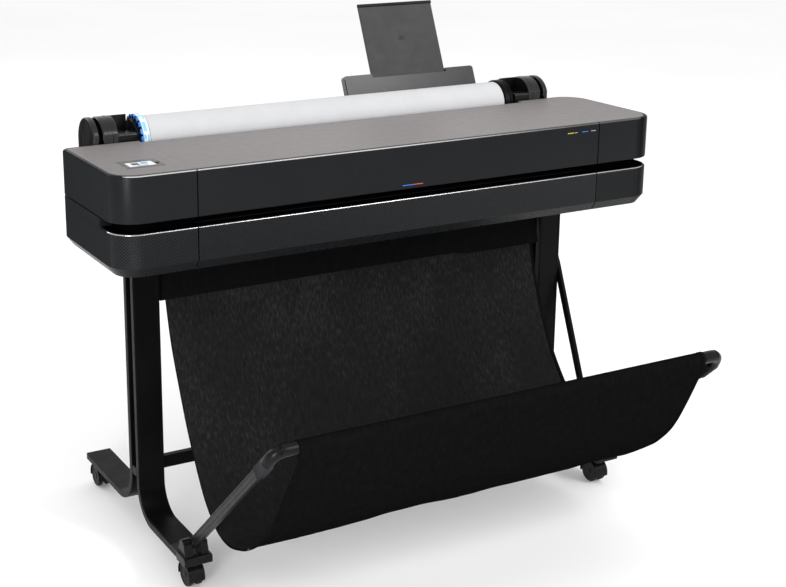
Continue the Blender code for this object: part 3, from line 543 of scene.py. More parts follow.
def mapped(obj, spread):
    """Gives a piece a UV map, in metres, worked out from each corner's place."""
    layer = obj.data.uv_layers.new(name="UV")
    for loop, uv in zip(obj.data.loops, layer.data):
        uv.uv = spread(*obj.data.vertices[loop.vertex_index].co)


def wrap(obj):
    """Gives a piece of casing the UV map that its hatching follows: along the outline, and up."""
    mapped(obj, lambda x, y, z: (around(x, y - FRONT), z))


def made_real(obj):
    """Replaces a piece's mesh with the one that its modifiers make."""
    bpy.context.view_layer.update()
    graph = bpy.context.evaluated_depsgraph_get()
    data = bpy.data.meshes.new_from_object(obj.evaluated_get(graph))
    obj.modifiers.clear()
    obj.data = data


def cut(obj, cutter):
    """Cuts closed shapes out of a piece."""
    tool = piece("cutter", cutter, JOINT_AND_SHADE_BLACK, slot=None, body=None)
    modifier = obj.modifiers.new("Cut", "BOOLEAN")
    modifier.operation = "DIFFERENCE"
    modifier.object = tool
    made_real(obj)
    bpy.data.objects.remove(tool)


def matt_side(obj, look):
    """Gives the casing's flat outer side its own copy of the look, lighter and with no reflection: painted
    light for how light falls on the side.
    """
    obj.data.materials.append(look)
    for face in obj.data.polygons:
        if abs(face.center.x) > HALF_WIDTH - SIDE_SKIN:
            face.material_index = 1


def shell(name, mesh, look, stands_for, openings=None):
    """An open skin given the thickness of the casing's wall, with a fine rounding on its edges."""
    obj = piece(name, mesh, look, "casing", stands_for=[stands_for])
    thick = obj.modifiers.new("Wall", "SOLIDIFY")
    thick.thickness = WALL
    thick.offset = -1
    if openings:
        cut(obj, openings)
    rounded(obj, **SHELL_EDGE)
    matt_side(obj, HATCH_SIDE if look is HATCH else CASING_SIDE)
    wrap(obj)


def door_hole(gap=0.0003, deep=0.008, past=0.01):
    low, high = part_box("ink_door")
    return block((SEAM - past, -past, low.z - gap), (high.x + gap, deep, high.z + gap))


def lower_end(name, side):
    rings = [end_plan(side, CHAMFER_DEPTH, BOTTOM), end_plan(side, 0, CHAMFER_TOP)]
    rings += [*edge_rings(side, LOWER_TOP), end_plan(side, SLOT_INSET + 0.004, LOWER_TOP)]
    skin = loft(rings, closed=False, capped=False)
    skin.verts.ensure_lookup_table()
    skin.faces.new(skin.verts[: len(rings[0])])
    shell(f"{name}_shell", skin, HATCH, f"{name}_lower_end_cover", door_hole() if side > 0 else None)


def side_rise(name, side, lap=0.006):
    """The wall behind the slot's end, up to the side's own seam, and the round turns at both of its ends."""
    corner, neck = REAR_CORNERS[side], HALF_WIDTH - SLOT_INSET
    centre = (HALF_WIDTH - corner, DEPTH - corner)
    start, end = SEAM + SEAM_GAP, HALF_WIDTH - RISE_WALL
    outside = arc(centre, corner, 0, 90, CORNER_STEPS)
    inside = arc(centre, corner - RISE_WALL, 90, 0, CORNER_STEPS)
    rear = [(neck, SLOT_END), (HALF_WIDTH, SLOT_END), *outside, (start, DEPTH), (start, DEPTH - RISE_WALL)]
    rear += [*inside, (end, SLOT_END + RISE_WALL), (neck, SLOT_END + RISE_WALL)]
    wall = prism([(side * x, y) for x, y in rear], LOWER_TOP - lap, SIDE_SEAM, "Z")
    obj = piece(f"{name}_side_rise", wall, CASING, "casing", bevel=0.0006)
    matt_side(obj, CASING_SIDE)
    wrap(obj)
    for which, level, sign in (("low", LOWER_TOP, 1), ("high", SIDE_SEAM, -1)):
        turn = arc((SLOT_END - SLOT_ROUND, level + sign * SLOT_ROUND), SLOT_ROUND, -90 * sign, 0, 10)
        back = SLOT_END + LAP
        turn += [(back, level + sign * SLOT_ROUND), (back, level - LAP * (sign > 0))]
        turn += [(SLOT_END - SLOT_ROUND, level - LAP)] if sign > 0 else []
        mesh = prism(turn, side * (HALF_WIDTH - RISE_WALL), side * HALF_WIDTH)
        matt_side(piece(f"{name}_slot_{which}_turn", mesh, CASING, "casing"), CASING_SIDE)


def slot_end(name, side, inset=0.0048):
    """The wall and floor inside one end of the output slot, near-black as painted shade."""
    neck, radius = HALF_WIDTH - SLOT_INSET, CORNER - SLOT_INSET
    bend, start, end = (neck - radius, CORNER), SEAM - 0.003, SLOT_END + LAP
    wall = [(start, SLOT_INSET), *arc(bend, radius, -90, 0, CORNER_STEPS), (neck, end), (neck - WALL, end)]
    wall += [*arc(bend, radius - WALL, 0, -90, CORNER_STEPS), (start, SLOT_INSET + WALL)]
    inner = prism([(side * x, y) for x, y in wall], LOWER_TOP - LAP, UPPER_BOTTOM + LAP, "Z")
    piece(f"{name}_slot_wall", inner, JOINT_AND_SHADE_BLACK, "casing")
    floor = [(x, y) for x, y, _ in end_plan(side, inset, 0)]
    piece(f"{name}_slot_floor", prism(floor, *SLOT_FLOOR, "Z"), JOINT_AND_SHADE_BLACK, "casing")


def upper_end(name, side, ledge=0.020, deep=0.004):
    rings = [end_plan(side, inset, UPPER_BOTTOM + rise) for inset, rise in FOOT]
    rings += edge_rings(side, TOP - RIM_DROP)
    for inset, drop in ((0, RIM_DROP), (0.0001, deep), (ledge, deep)):
        rings.append(end_plan(side, RIM_WIDTH + inset, TOP - drop))
    skin = loft(rings, closed=False, capped=False)
    shell(f"{name}_upper_shell", skin, CASING, f"{name}_upper_end_cover")
    plan = [(x, y) for x, y, _ in end_plan(side, PLATE_INSET, 0)]
    plan[0], plan[-1] = ((side * (SEAM + PLATE_GAP), y) for y in (PLATE_INSET, DEPTH - PLATE_INSET))
    piece(f"{name}_lid_plate", prism(plan, PLATE_LOW, TOP, "Z"), LID, "lid", bevel=0.0002)


LIP_DEPTH = 0.030


def lower_middle():
    """The trough between the two ends."""
    reach, lip, floor = SEAM - SEAM_GAP, LIP_DEPTH, BOTTOM + WALL
    slope, inner, rear_top = CHAMFER_DEPTH + WALL / 2, CHAMFER_TOP + 0.001, 0.770
    rim = arc((EDGE, LOWER_TOP - EDGE), EDGE, 180, 90, EDGE_STEPS)
    trough = [(CHAMFER_DEPTH, BOTTOM), (0, CHAMFER_TOP), *rim, (lip, LOWER_TOP), (lip, LOWER_TOP - WALL)]
    trough += [(EDGE, LOWER_TOP - WALL), (WALL, LOWER_TOP - EDGE), (WALL, inner), (slope, floor)]
    trough += [(DEPTH - slope, floor), (DEPTH - WALL, inner), (DEPTH - WALL, rear_top), (DEPTH, rear_top)]
    trough += [(DEPTH, CHAMFER_TOP), (DEPTH - CHAMFER_DEPTH, BOTTOM)]
    mesh = prism(trough, -reach, reach)
    wrap(piece("lower_front_shell", mesh, HATCH, "casing", **SHELL_EDGE, stands_for=["lower_front_cover"]))


def lid():
    """The middle of the casing's top, which swings up: its front with three ribs inside, and its plate."""
    reach, under, ledge = SEAM - SEAM_GAP, TOP - 0.003, TOP - 0.0045
    section = [(inset, UPPER_BOTTOM + rise) for inset, rise in FOOT]
    section += [*arc((EDGE, TOP - EDGE - RIM_DROP), EDGE, 180, 90, EDGE_STEPS), (RIM_WIDTH, TOP - RIM_DROP)]
    section += [(RIM_WIDTH + 0.0001, under), (LID_DEPTH, under), (LID_DEPTH, ledge), (EDGE + 0.002, ledge)]
    section += [(WALL + 0.001, TOP - EDGE - 0.0025), (WALL + 0.001, UPPER_BOTTOM)]
    front = prism(section, -reach, reach)
    for x in (-0.32, 0, 0.32):
        block((x - 0.0015, 0.010, TOP - 0.011), (x + 0.0015, LID_DEPTH - 0.02, TOP - 0.004), front)
    wrap(piece("lid_front_shell", front, CASING, "casing", "lid", **SHELL_EDGE, stands_for=["top_cover"]))
    half = SEAM - PLATE_GAP
    plate = block((-half, PLATE_INSET, PLATE_LOW), (half, LID_DEPTH, TOP))
    piece("middle_lid_plate", plate, LID, "lid", "lid", bevel=0.0002)


def middle_slot_floor():
    """The floor of the output slot, between the lid's front and the trough, near-black as painted shade."""
    reach = SEAM - SEAM_GAP
    floor = block((-reach, 0.0045, SLOT_FLOOR[0]), (reach, LIP_DEPTH, SLOT_FLOOR[1]))
    piece("middle_slot_floor", floor, JOINT_AND_SHADE_BLACK, "casing")


LINE_INSET = 0.0026
# The height, radius, steps, look and body of each painted highlight line, and for its ends on either side
# how many points of the path they take and how many of those grow thinner
HIGHLIGHT_LINES = {
    "lip": (LOWER_TOP - 0.0016, 0.0017, 12, LIP_HIGHLIGHT, "root", {-1: (27, 3), 1: (14, 10)}),
    "lid": (TOP - 0.0029, 0.002, 16, LID_EDGE_HIGHLIGHT, "lid", {-1: (20, 10), 1: (12, 10)}),
}


def painted_highlight_lines():
    """Painted highlights, drawn as thin bright lines: along the front edge of the lid, and along the lip of
    the output slot.
    """
    reach = SEAM - SEAM_GAP
    for name, side in SIDES:
        corner = arc((HALF_WIDTH - CORNER, CORNER), CORNER - LINE_INSET, -90, 0, 24)
        plan = [(SEAM + SEAM_GAP, LINE_INSET), *corner, (HALF_WIDTH - LINE_INSET, SLOT_END)]
        for which, (height, radius, steps, look, _, ends) in HIGHLIGHT_LINES.items():
            count, taper = ends[side]
            mesh = tube([(side * x, y, height) for x, y in plan[:count]], radius, steps, taper)
            piece(f"{name}_{which}_line", mesh, look, "casing")
    for which, (height, radius, _, look, body, _) in HIGHLIGHT_LINES.items():
        bar = tube([(-reach, LINE_INSET, height), (reach, LINE_INSET, height)], radius, 10)
        piece(f"middle_{which}_line", bar, look, "casing", body)


def marks(half=0.0007):
    """Plain coloured dashes on the lid's front, in place of printed names."""
    for name, start, end, height, look in (
        ("yellow_dash", 0.401, 0.418, 0.854, YELLOW),
        ("grey_dash", 0.420, 0.428, 0.854, PALE),
        ("blue_dash", 0.441, 0.458, 0.854, BLUE),
        ("pale_dash", 0.466, 0.479, 0.854, PALE),
        ("status_blue", -0.025, 0.002, 0.785, BLUE),
        ("status_red", 0.003, 0.025, 0.785, RED),
    ):
        mesh = block((start, -0.00025, height - half), (end, 0.001, height + half))
        piece(name, mesh, look, "casing", "lid")


for name, side in SIDES:
    lower_end(name, side)
    side_rise(name, side)
    slot_end(name, side)
    upper_end(name, side)
lower_middle()
lid()
middle_slot_floor()
painted_highlight_lines()
marks()


# What shows on the rear cover, and the touch panel.


def screw(mesh, x, z, depth):
    """Adds a round recessed screw head that faces the rear."""
    head = [(0.0036, 0), (0.0036, 0.0007), (0.003, 0.0012), (0.0016, 0.0012), (0.0013, 0.0005)]
    head.append((0.0001, 0.0005))
    turned(head, (x, depth, z), "Y", 24, mesh=mesh)


def socket(name, left, right, low, high, back, rim=0.0012):
    """A dark opening with a steel rim; the opening is a flat near-black block, painted shade."""
    mesh = bmesh.new()
    for x0, x1, z0, z1 in (
        (left - rim, left, low - rim, high + rim),
        (right, right + rim, low - rim, high + rim),
        (left - rim, right + rim, low - rim, low),
        (left - rim, right + rim, high, high + rim),
    ):
        block((x0, back - 0.0005, z0), (x1, back + 0.001, z1), mesh)
    piece(f"{name}_rim", mesh, STEEL, "zinc_steel", bevel=0.0002, segments=1)
    hollow = block((left, back - 0.0005, low), (right, back + 0.0002, high))
    piece(name, hollow, JOINT_AND_SHADE_BLACK, "black_plastic")


def rear_details():
    """The rear cover's seams, its screws, a blank label and a pair of sockets."""
    half, back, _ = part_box("rear_cover")[1]
    back -= FRONT
    deep, proud = back - 0.001, back + 0.0001
    seams = bmesh.new()
    for x in (-0.3605, 0.0, 0.4255):
        block((x - 0.0005, deep, 0.686), (x + 0.0005, proud, 0.756), seams)
    block((-half + 0.004, deep, 0.7), (half - 0.004, proud, 0.7008), seams)
    piece("rear_cover_seams", seams, JOINT_AND_SHADE_BLACK, "casing")
    heads = bmesh.new()
    for x in (-0.545, -0.375, -0.185, -0.014, 0.014, 0.408, 0.444, 0.545):
        screw(heads, x, 0.6925, back)
    piece("rear_cover_screws", heads, STEEL, "zinc_steel")
    piece("rear_label_plate", block((-0.340, back, 0.712), (-0.270, back + 0.0003, 0.746)), PALE, "casing")
    socket("rear_network_socket", 0.4450, 0.4600, 0.7240, 0.7370, back)
    socket("rear_data_socket", 0.4740, 0.4860, 0.7245, 0.7365, back)


def drawn_box(node):
    """A CAD node's box, with Y as the depth behind the casing's front face."""
    return [Vector(corner) - Vector((0, FRONT, 0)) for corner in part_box(node)]


def touch_panel(recess=0.0006):
    low, high = drawn_box("touch_panel")
    mesh = block(low, (high.x, high.y, high.z - recess))
    piece("touch_panel_frame", mesh, PANEL, "black_plastic", bevel=0.0008, stands_for=["touch_panel"])
    low, high = drawn_box("touch_screen")
    top = high.z - recess
    mesh = block(low, (high.x, high.y, top + recess / 2))
    piece("touch_screen_lit", mesh, LIT, "screen", bevel=0.0001, stands_for=["touch_screen"])
    width, depth = high.x - low.x, high.y - low.y
    for name, left, right, near, far, look in (
        ("screen_tile_dark", 0.16, 0.44, 0.30, 0.82, PANEL),
        ("screen_tile_blue", 0.52, 0.80, 0.44, 0.82, LIT_BLUE),
        ("screen_bar", 0.30, 0.70, 0.08, 0.15, PANEL),
    ):
        start = (low.x + left * width, low.y + near * depth, top)
        end = (low.x + right * width, low.y + far * depth, top + recess)
        piece(name, block(start, end), look, "screen")


# The roll, its spindle and its holders.

ROLL_Y, ROLL_Z = (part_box("paper_roll")[0].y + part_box("paper_roll")[1].y) / 2 - FRONT, 0.864
ROLL_RADIUS, ROLL_HALF = 0.048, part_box("paper_roll")[1].x
BORE, CORE, PLUG, PLUG_DEPTH = 0.0125, 0.0278, 0.025, 0.035
FLANGE, DRUM = 0.053, 0.044
HUB_GAP = 0.0024
BAND = 0.0148
CENTRE = (0, ROLL_Y, ROLL_Z)
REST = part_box("left_roll_holder")[0].z
HOLDER_RADIUS, HOLDER_END = 0.052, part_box("right_roll_holder")[1].x
HOLDER_FRONT, HOLDER_LIFT = 0.3140, 0.003
SEAT_RADIUS = 0.0155


def wheel(profile, start=0, steps=96):
    """A ring round the roll's axis; its profile's places are counted from the start."""
    return turned(profile, (start, ROLL_Y, ROLL_Z), ring=True, steps=steps)


def spokes(mesh, count, inner, outer, near, far, width):
    """Adds small blocks that point outwards from the roll's axis."""
    for i in range(count):
        start = len(mesh.verts)
        block((near, inner, -width / 2), (far, outer, width / 2), mesh)
        mesh.verts.ensure_lookup_table()
        turn = Matrix.Translation(CENTRE) @ Matrix.Rotation(math.tau * i / count, 4, "X")
        bmesh.ops.transform(mesh, matrix=turn, verts=mesh.verts[start:])


def ring_segment(mesh, start, end, inner, outer, near, far):
    """Adds part of a ring round the roll's axis, with its angles in degrees."""
    steps = max(2, int(abs(end - start) / 4))
    outline = arc(CENTRE[1:], outer, start, end, steps) + arc(CENTRE[1:], inner, end, start, steps)
    prism(outline, near, far, mesh=mesh)


def paper_roll(turn=0.0004):
    """The wound paper, its edges rounded by a turn's thickness."""
    inner, outer = ROLL_RADIUS - turn, ROLL_RADIUS
    sheet = [(outer, ROLL_HALF - turn), (outer, turn - ROLL_HALF), (inner, -ROLL_HALF)]
    sheet += [(CORE, -ROLL_HALF), (CORE, ROLL_HALF), (inner, ROLL_HALF)]
    mesh = wheel(sheet, steps=128)
    piece("paper_roll_wound", mesh, PAPER, "paper", "paper_supply", stands_for=["paper_roll"])


def left_hub():
    """A white collar with pale marks, the blue disc with its gaps, and the drum outside it."""
    start, edge = -ROLL_HALF - HUB_GAP, 0.0015
    plug = [(BORE, PLUG_DEPTH), (PLUG, PLUG_DEPTH), (PLUG, 0), (FLANGE - edge, 0), (FLANGE, -edge)]
    plug += [(FLANGE, edge - BAND), (FLANGE - edge, -BAND), (BORE, -BAND)]
    collar = {"slot": "collar_white", "body": "paper_supply"}
    piece("left_collar_ring", wheel(plug, start), WHITE, **collar, stands_for=["left_spindle_collar"])
    pads = bmesh.new()
    for angle in range(8, 360, 60):
        for first, last, near, far in (
            (0, 26, 0.0128, 0.0052), (33, 43, 0.0135, 0.0085), (33, 52, 0.0060, 0.0022)
        ):
            ring_segment(pads, angle + first, angle + last, 0.052, 0.0533, start - near, start - far)
    piece("left_collar_marks", pads, PALE_BLUE, **collar, bevel=0.0002, segments=1)

    face = start - BAND - 0.0003
    disc = [(BORE, 0), (FLANGE - 0.001, 0), (FLANGE, -0.001), (FLANGE, -0.004), (FLANGE - 0.001, -0.005)]
    disc += [(FLANGE - 0.003, -0.005), (FLANGE - 0.0035, -0.003), (BORE, -0.003)]
    mesh = wheel(disc, face)
    spokes(mesh, 40, 0.038, FLANGE - 0.002, face - 0.0048, face - 0.001, 0.0016)
    piece("left_hub_disc", mesh, BLUE, "hub_blue", "paper_supply", stands_for=["left_spindle_hub"])
    # Near-black blocks in the blue disc's gaps: painted shade.
    gaps = bmesh.new()
    spokes(gaps, 20, 0.04, FLANGE + 0.0002, face - 0.0052, face - 0.0014, 0.0046)
    piece("left_hub_gaps", gaps, JOINT_AND_SHADE_BLACK, "hub_blue", "paper_supply")
    drum = [(BORE, -0.0115), (BORE, -0.002), (DRUM, -0.002), (DRUM, -0.01), (DRUM - 0.0015, -0.0115)]
    mesh = wheel(drum, face)
    spokes(mesh, 10, 0.043, 0.046, face - 0.011, face - 0.004, 0.009)
    piece("left_hub_drum", mesh, BLACK, "black_plastic", "paper_supply", bevel=0.0005, segments=2)


def right_hub():
    """A plug with a knurled flange, two fine ribs behind it, and the drum outside it."""
    start = ROLL_HALF + HUB_GAP
    hub = [(BORE, -PLUG_DEPTH), (PLUG, -PLUG_DEPTH), (PLUG, 0), (0.05, 0), (0.05, 0.02), (DRUM, 0.02)]
    hub += [(DRUM, 0.026), (DRUM - 0.0015, 0.0275), (BORE, 0.0275)]
    mesh = wheel(hub, start)
    spokes(mesh, 72, 0.049, FLANGE - 0.0012, start + 0.0005, start + 0.0125, 0.0022)
    for near in (0.0145, 0.0175):
        ring_segment(mesh, 0, 360, 0.048, FLANGE - 0.001, start + near, start + near + 0.0014)
    piece("right_hub_ribbed", mesh, BLACK, "black_plastic", "paper_supply", stands_for=["right_spindle_hub"])


def arch(radius, front=HOLDER_FRONT):
    """The outline of a roll holder: an arch over the roll's axis, flat where it meets the casing."""
    start = math.degrees(math.acos((front - ROLL_Y) / radius))
    over = arc((ROLL_Y, ROLL_Z + HOLDER_LIFT), radius, start, 0, 40)
    return [(front, REST), *over, (ROLL_Y + radius, REST)]


def holder_step(front=HOLDER_FRONT, high=0.887, soft=0.005):
    """The outline of the low step that the spindle's end lies in."""
    step = [(front, REST), (front, 0.880), *arc((front + soft, high - soft), soft, 180, 90, 6)]
    step += [(ROLL_Y - SEAT_RADIUS, high), *arc((ROLL_Y, ROLL_Z), SEAT_RADIUS, 180, 360, 24)]
    wall = math.degrees(math.acos(SEAT_RADIUS / HOLDER_RADIUS))
    step += arc((ROLL_Y, ROLL_Z + HOLDER_LIFT), HOLDER_RADIUS, wall, 0, 24)
    return [*step, (ROLL_Y + HOLDER_RADIUS, REST)]


def roll_holder(name, side):
    """A holder in slices: end cap, its face, groove, drum with a rib, and the low step; the groove is
    near-black, painted shade.
    """
    end = HOLDER_END
    for part, outline, near, far, look, bevel, segments in (
        ("cap", arch(HOLDER_RADIUS), end - 0.0125, end, HOLDER, 0.0022, 4),
        ("face", arch(0.0496, 0.3165), end - 0.002, end + 0.0003, HOLDER_FACE, 0.0002, 1),
        ("groove", arch(0.0484), end - 0.0225, end - 0.010, JOINT_AND_SHADE_BLACK, 0, 0),
        ("drum", arch(HOLDER_RADIUS), 0.5290, end - 0.0210, HOLDER, 0.0026, 5),
        ("rib", arch(0.0526), 0.5400, 0.5420, HOLDER, 0.0005, 2),
        ("step", holder_step(), 0.4880, 0.5300, HOLDER, 0.0012, 3),
    ):
        piece(f"{name}_holder_{part}", prism(outline, side * near, side * far), look, "black_plastic",
              bevel=bevel, segments=segments, stands_for=[f"{name}_roll_holder"] if part == "cap" else [])


# The sheet tray, drawn upright with its thickness along Y and laid back.

TRAY_LEAN = math.radians(23.5)
TRAY_FRAME = Matrix.Translation((0, 0.4265, 0.8105)) @ Matrix.Rotation(-TRAY_LEAN, 4, "X")
TRAY_HEIGHT, TRAY_THICK = 0.1369, 0.016
TRAY_LEFT, TRAY_RIGHT = 0.1056, 0.4755
NOTCH = TRAY_HEIGHT - 0.009
EXTENSION_FOOT, EXTENSION_TOP = NOTCH - 0.022, 0.3115
EXTENSION_LEFT, EXTENSION_RIGHT = 0.1863, 0.3943
ABOVE = 0.2  # a height above the tray's edge, for what cuts through it


def leaning(mesh):
    """A mesh drawn upright, laid back into the tray's plane."""
    bmesh.ops.transform(mesh, matrix=TRAY_FRAME, verts=mesh.verts)
    return mesh


def upright(left, right, low, high, near, far, radius):
    """An upright plate whose two upper corners are round."""
    plan = [(right, low), *arc((right - radius, high - radius), radius, 0, 90, 10)]
    plan += [*arc((left + radius, high - radius), radius, 90, 180, 10), (left, low)]
    return leaning(prism(plan, near, far, "Y"))


def sheet_tray():
    plate = upright(TRAY_LEFT, TRAY_RIGHT, 0, TRAY_HEIGHT, 0, TRAY_THICK, 0.007)
    tray = piece("sheet_tray_body", plate, TRAY, "tray_grey", stands_for=["sheet_tray"])
    left, right = EXTENSION_LEFT - 0.001, EXTENSION_RIGHT + 0.001
    for near, far, foot in ((0.0045, 0.0118, 0.004), (-0.01, 0.008, NOTCH)):
        cut(tray, leaning(block((left, near, foot), (right, far, ABOVE))))
    rounded(tray, 0.0009, 2, 30)
    seam = leaning(block((TRAY_LEFT + 0.0006, -0.0002, 0.030), (TRAY_LEFT + 0.0022, 0.004, 0.128)))
    piece("sheet_tray_line", seam, JOINT_AND_SHADE_BLACK, "tray_grey")


def tray_extension(name="sheet_tray_extension", past=0.0008):
    """The sliding plate, its rolled lip and a small mark of three bars."""
    slot, body = "tray_grey", "tray_extension"
    plate = upright(EXTENSION_LEFT, EXTENSION_RIGHT, EXTENSION_FOOT, EXTENSION_TOP, 0.005, 0.0113, 0.004)
    piece(f"{name}_plate", plate, EXTENSION, slot, body, bevel=0.0008, stands_for=[name])
    lip = [(x, 0.0065, EXTENSION_TOP - 0.003) for x in (EXTENSION_LEFT - past, EXTENSION_RIGHT + past)]
    piece(f"{name}_lip", leaning(tube(lip, 0.0044, 20)), GRIP, slot, body, bevel=0.0008)
    centre = (EXTENSION_LEFT + EXTENSION_RIGHT) / 2
    icon = bmesh.new()
    for width, height in ((0.007, 0.225), (0.0045, 0.2215), (0.01, 0.218)):
        block((centre - width, 0.0046, height), (centre + width, 0.0055, height + 0.0012), icon)
    piece(f"{name}_mark", leaning(icon), GRIP, slot, body)


rear_details()
touch_panel()
paper_roll()
left_hub()
right_hub()
for name, side in SIDES:
    roll_holder(name, side)
sheet_tray()
tray_extension()


# The stand.

LEG_X, LEG_WIDTH, LEG_THICK = 0.523, 0.0595, 0.0155
LEG_INNER, LEG_OUTER = LEG_X - LEG_WIDTH / 2, LEG_X + LEG_WIDTH / 2
LEG_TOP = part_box("left_leg_front")[1].z
FRONT_LEG_Y, REAR_LEG_Y = 0.2095, 0.250
FRONT_FOOT_Z, REAR_FOOT_Z = 0.0705, 0.0715
FRONT_BEND, REAR_BEND, BEND_STEPS = 0.070, 0.080, 28
FOOT_FRONT, FOOT_REAR = -0.002, 0.545
LEG_FLANGE_Y, LEG_FLANGE_LOW = (0.188, 0.272), 0.6605
LINK_END, LINK_Z = 0.2419, (0.153, 0.173)
CASTER_RADIUS, CASTER_TRAIL = 0.025, 0.014
HOOD_OUTER, HOOD_INNER, HOOD_HALF, HOOD_DROOP = 0.029, 0.0262, 0.018, 14
FRONT_CASTER_Y, REAR_CASTER_Y = -0.018, 0.514


def front_leg(node, side):
    """A bent bar with two fine ribs along it, a flange at its top and a low link towards the rear leg."""
    bend = arc((FRONT_LEG_Y - FRONT_BEND, FRONT_FOOT_Z + FRONT_BEND), FRONT_BEND, 0, -90, BEND_STEPS)
    path = [(FRONT_LEG_Y, LEG_TOP - 0.004), *bend, (FOOT_FRONT, FRONT_FOOT_Z)]
    mesh = prism(ribbon(path, LEG_THICK), side * LEG_INNER, side * LEG_OUTER)
    block((side * LEG_INNER, FRONT_LEG_Y, LINK_Z[0]), (side * LEG_OUTER, LINK_END, LINK_Z[1]), mesh)
    piece(f"{node}_bar", mesh, PAINT, "leg_paint", bevel=0.002, stands_for=[node])
    low, high = (side * (LEG_INNER - 0.004), side * (LEG_OUTER + 0.004))
    mesh = block((low, LEG_FLANGE_Y[0], LEG_FLANGE_LOW), (high, LEG_FLANGE_Y[1], LEG_TOP))
    piece(f"{node}_flange", mesh, PAINT, "leg_paint", bevel=0.001)
    for which, edge in (("inner", LEG_INNER + 0.0035), ("outer", LEG_OUTER - 0.0065)):
        mesh = prism(ribbon(path, LEG_THICK + 0.001), side * edge, side * (edge + 0.003))
        piece(f"{node}_rib_{which}", mesh, PAINT, "leg_paint", bevel=0.0004, segments=2)


def rear_leg(node, side):
    """A bar bent the other way, with a plastic cap at its foot's end."""
    bend = arc((REAR_LEG_Y + REAR_BEND, REAR_FOOT_Z + REAR_BEND), REAR_BEND, 180, 270, BEND_STEPS)
    path = [(REAR_LEG_Y, 0.6600), *bend, (FOOT_REAR, REAR_FOOT_Z)]
    mesh = prism(ribbon(path, LEG_THICK), side * LEG_INNER, side * LEG_OUTER)
    piece(f"{node}_bar", mesh, PAINT, "leg_paint", bevel=0.002, stands_for=[node])
    tip = [(FOOT_REAR - 0.004, REAR_FOOT_Z), (FOOT_REAR + 0.0012, REAR_FOOT_Z)]
    cap = prism(ribbon(tip, 0.015), side * (LEG_INNER + 0.001), side * (LEG_OUTER - 0.001))
    piece(f"{node}_cap", cap, BLACK, "black_plastic", bevel=0.0012)


def brace():
    mesh = block(*drawn_box("cross_brace"))
    piece("cross_brace_bar", mesh, PAINT, "leg_paint", bevel=0.0016, stands_for=["cross_brace"])


def caster(name, x, y):
    """A hooded twin-wheel caster: the hood and stem swivel, and the two wheels roll."""
    axle = (y + CASTER_TRAIL, CASTER_RADIUS)
    near, far = -HOOD_DROOP, 180 + HOOD_DROOP
    outline = arc(axle, HOOD_OUTER, near, far, 36) + arc(axle, HOOD_INNER, far, near, 36)
    hood = prism(outline, x - HOOD_HALF, x + HOOD_HALF)
    rib = [*arc(axle, 0.028, 0, 180, 24), (axle[0] - 0.012, 0.018), (axle[0] + 0.012, 0.018)]
    prism(rib, x - 0.004, x + 0.004, mesh=hood)
    stem = [(0.009, 0.05), (0.009, 0.0562), (0.0056, 0.0566), (0.0056, 0.0622)]
    turned(stem, (x, y, 0), "Z", 32, mesh=hood)
    piece(f"{name}_hood", hood, BLACK, "black_plastic", f"{name}_swivel", 0.0008, stands_for=[f"{name}_fork"])
    tread = [(0.0042, 0.0045), (0.0215, 0.0045), (0.0236, 0.0052), (0.0248, 0.0068), (0.025, 0.0085)]
    tread += [(0.025, 0.0128), (0.0246, 0.0146), (0.0234, 0.016), (0.0215, 0.0165), (0.02, 0.0158)]
    tread += [(0.019, 0.0146), (0.0075, 0.0146), (0.007, 0.0158), (0.0055, 0.0163), (0.0001, 0.0164)]
    for which, side in SIDES:
        mesh = turned([(radius, side * place) for radius, place in tread], (x, *axle), steps=64)
        piece(f"{name}_{which}_wheel", mesh, RUBBER, "rubber", f"{name}_roller",
              stands_for=[f"{name}_wheel"] if side > 0 else [])


# The bin.

PIVOT = (-0.020, 0.100)
BAR, BAR_RADIUS = (-0.378, 0.440), 0.012
REAR_BAR, REAR_BAR_RADIUS = (0.232, 0.640), 0.008
FABRIC_HALF = 0.473
ARM_END, ARM_HALF = Vector((-0.363, 0.417)), 0.0105
ARM_RUN = (Vector(BAR) - Vector(PIVOT)).normalized()
ARM_SLEEVE, ARM_SLEEVE_WIDTH = 0.055, 0.0256
ELBOW_TURN, ELBOW_RADIUS = 0.021, 0.0128
STAY_FOOT, STAY_TOP, STAY_HALF = Vector((0.049, 0.078)), Vector((0.220, 0.495)), 0.009
STAY_NEAR, STAY_FAR = 0.5538, 0.5602


def arm(name, side):
    """A grooved arm from its pivot, with a soft sleeve at its end and a bolt through its pivot."""
    def slab(outline, half):
        return prism(outline, side * (LEG_X - half), side * (LEG_X + half))

    across, angle = crossways(ARM_RUN)
    strip = arc(PIVOT, ARM_HALF, angle, angle + 180, 18)
    strip += [tuple(ARM_END - across * ARM_HALF), tuple(ARM_END + across * ARM_HALF)]
    mesh = slab(strip, 0.0046)
    widths = ((-0.0087, 0.0036), (0, 0.0062), (0.0087, 0.0036))
    near, far = side * (LEG_X - 0.0055), side * (LEG_X + 0.0055)
    rails(mesh, Vector(PIVOT) + ARM_RUN * 0.016, ARM_END, across, widths, near, far)
    node, body = f"{name}_bin_arm", "bin_frame"
    piece(f"{node}_rod", mesh, ARM_PAINT, "leg_paint", body, 0.0006, 2, stands_for=[node])
    sleeve = [tuple(ARM_END - ARM_RUN * ARM_SLEEVE), tuple(ARM_END)]
    sleeve = slab(ribbon(sleeve, ARM_SLEEVE_WIDTH), 0.0095)
    piece(f"{node}_sleeve", sleeve, SLEEVE_GRIP, "black_plastic", body, 0.0045, 6)
    elbow(name, side)
    bolt = [(0.0048, side * 0.0048), (0.0048, side * 0.0064), (0.003, side * 0.0072)]
    piece(f"{node}_bolt", turned(bolt, (side * LEG_X, *PIVOT)), STEEL, "zinc_steel", body)


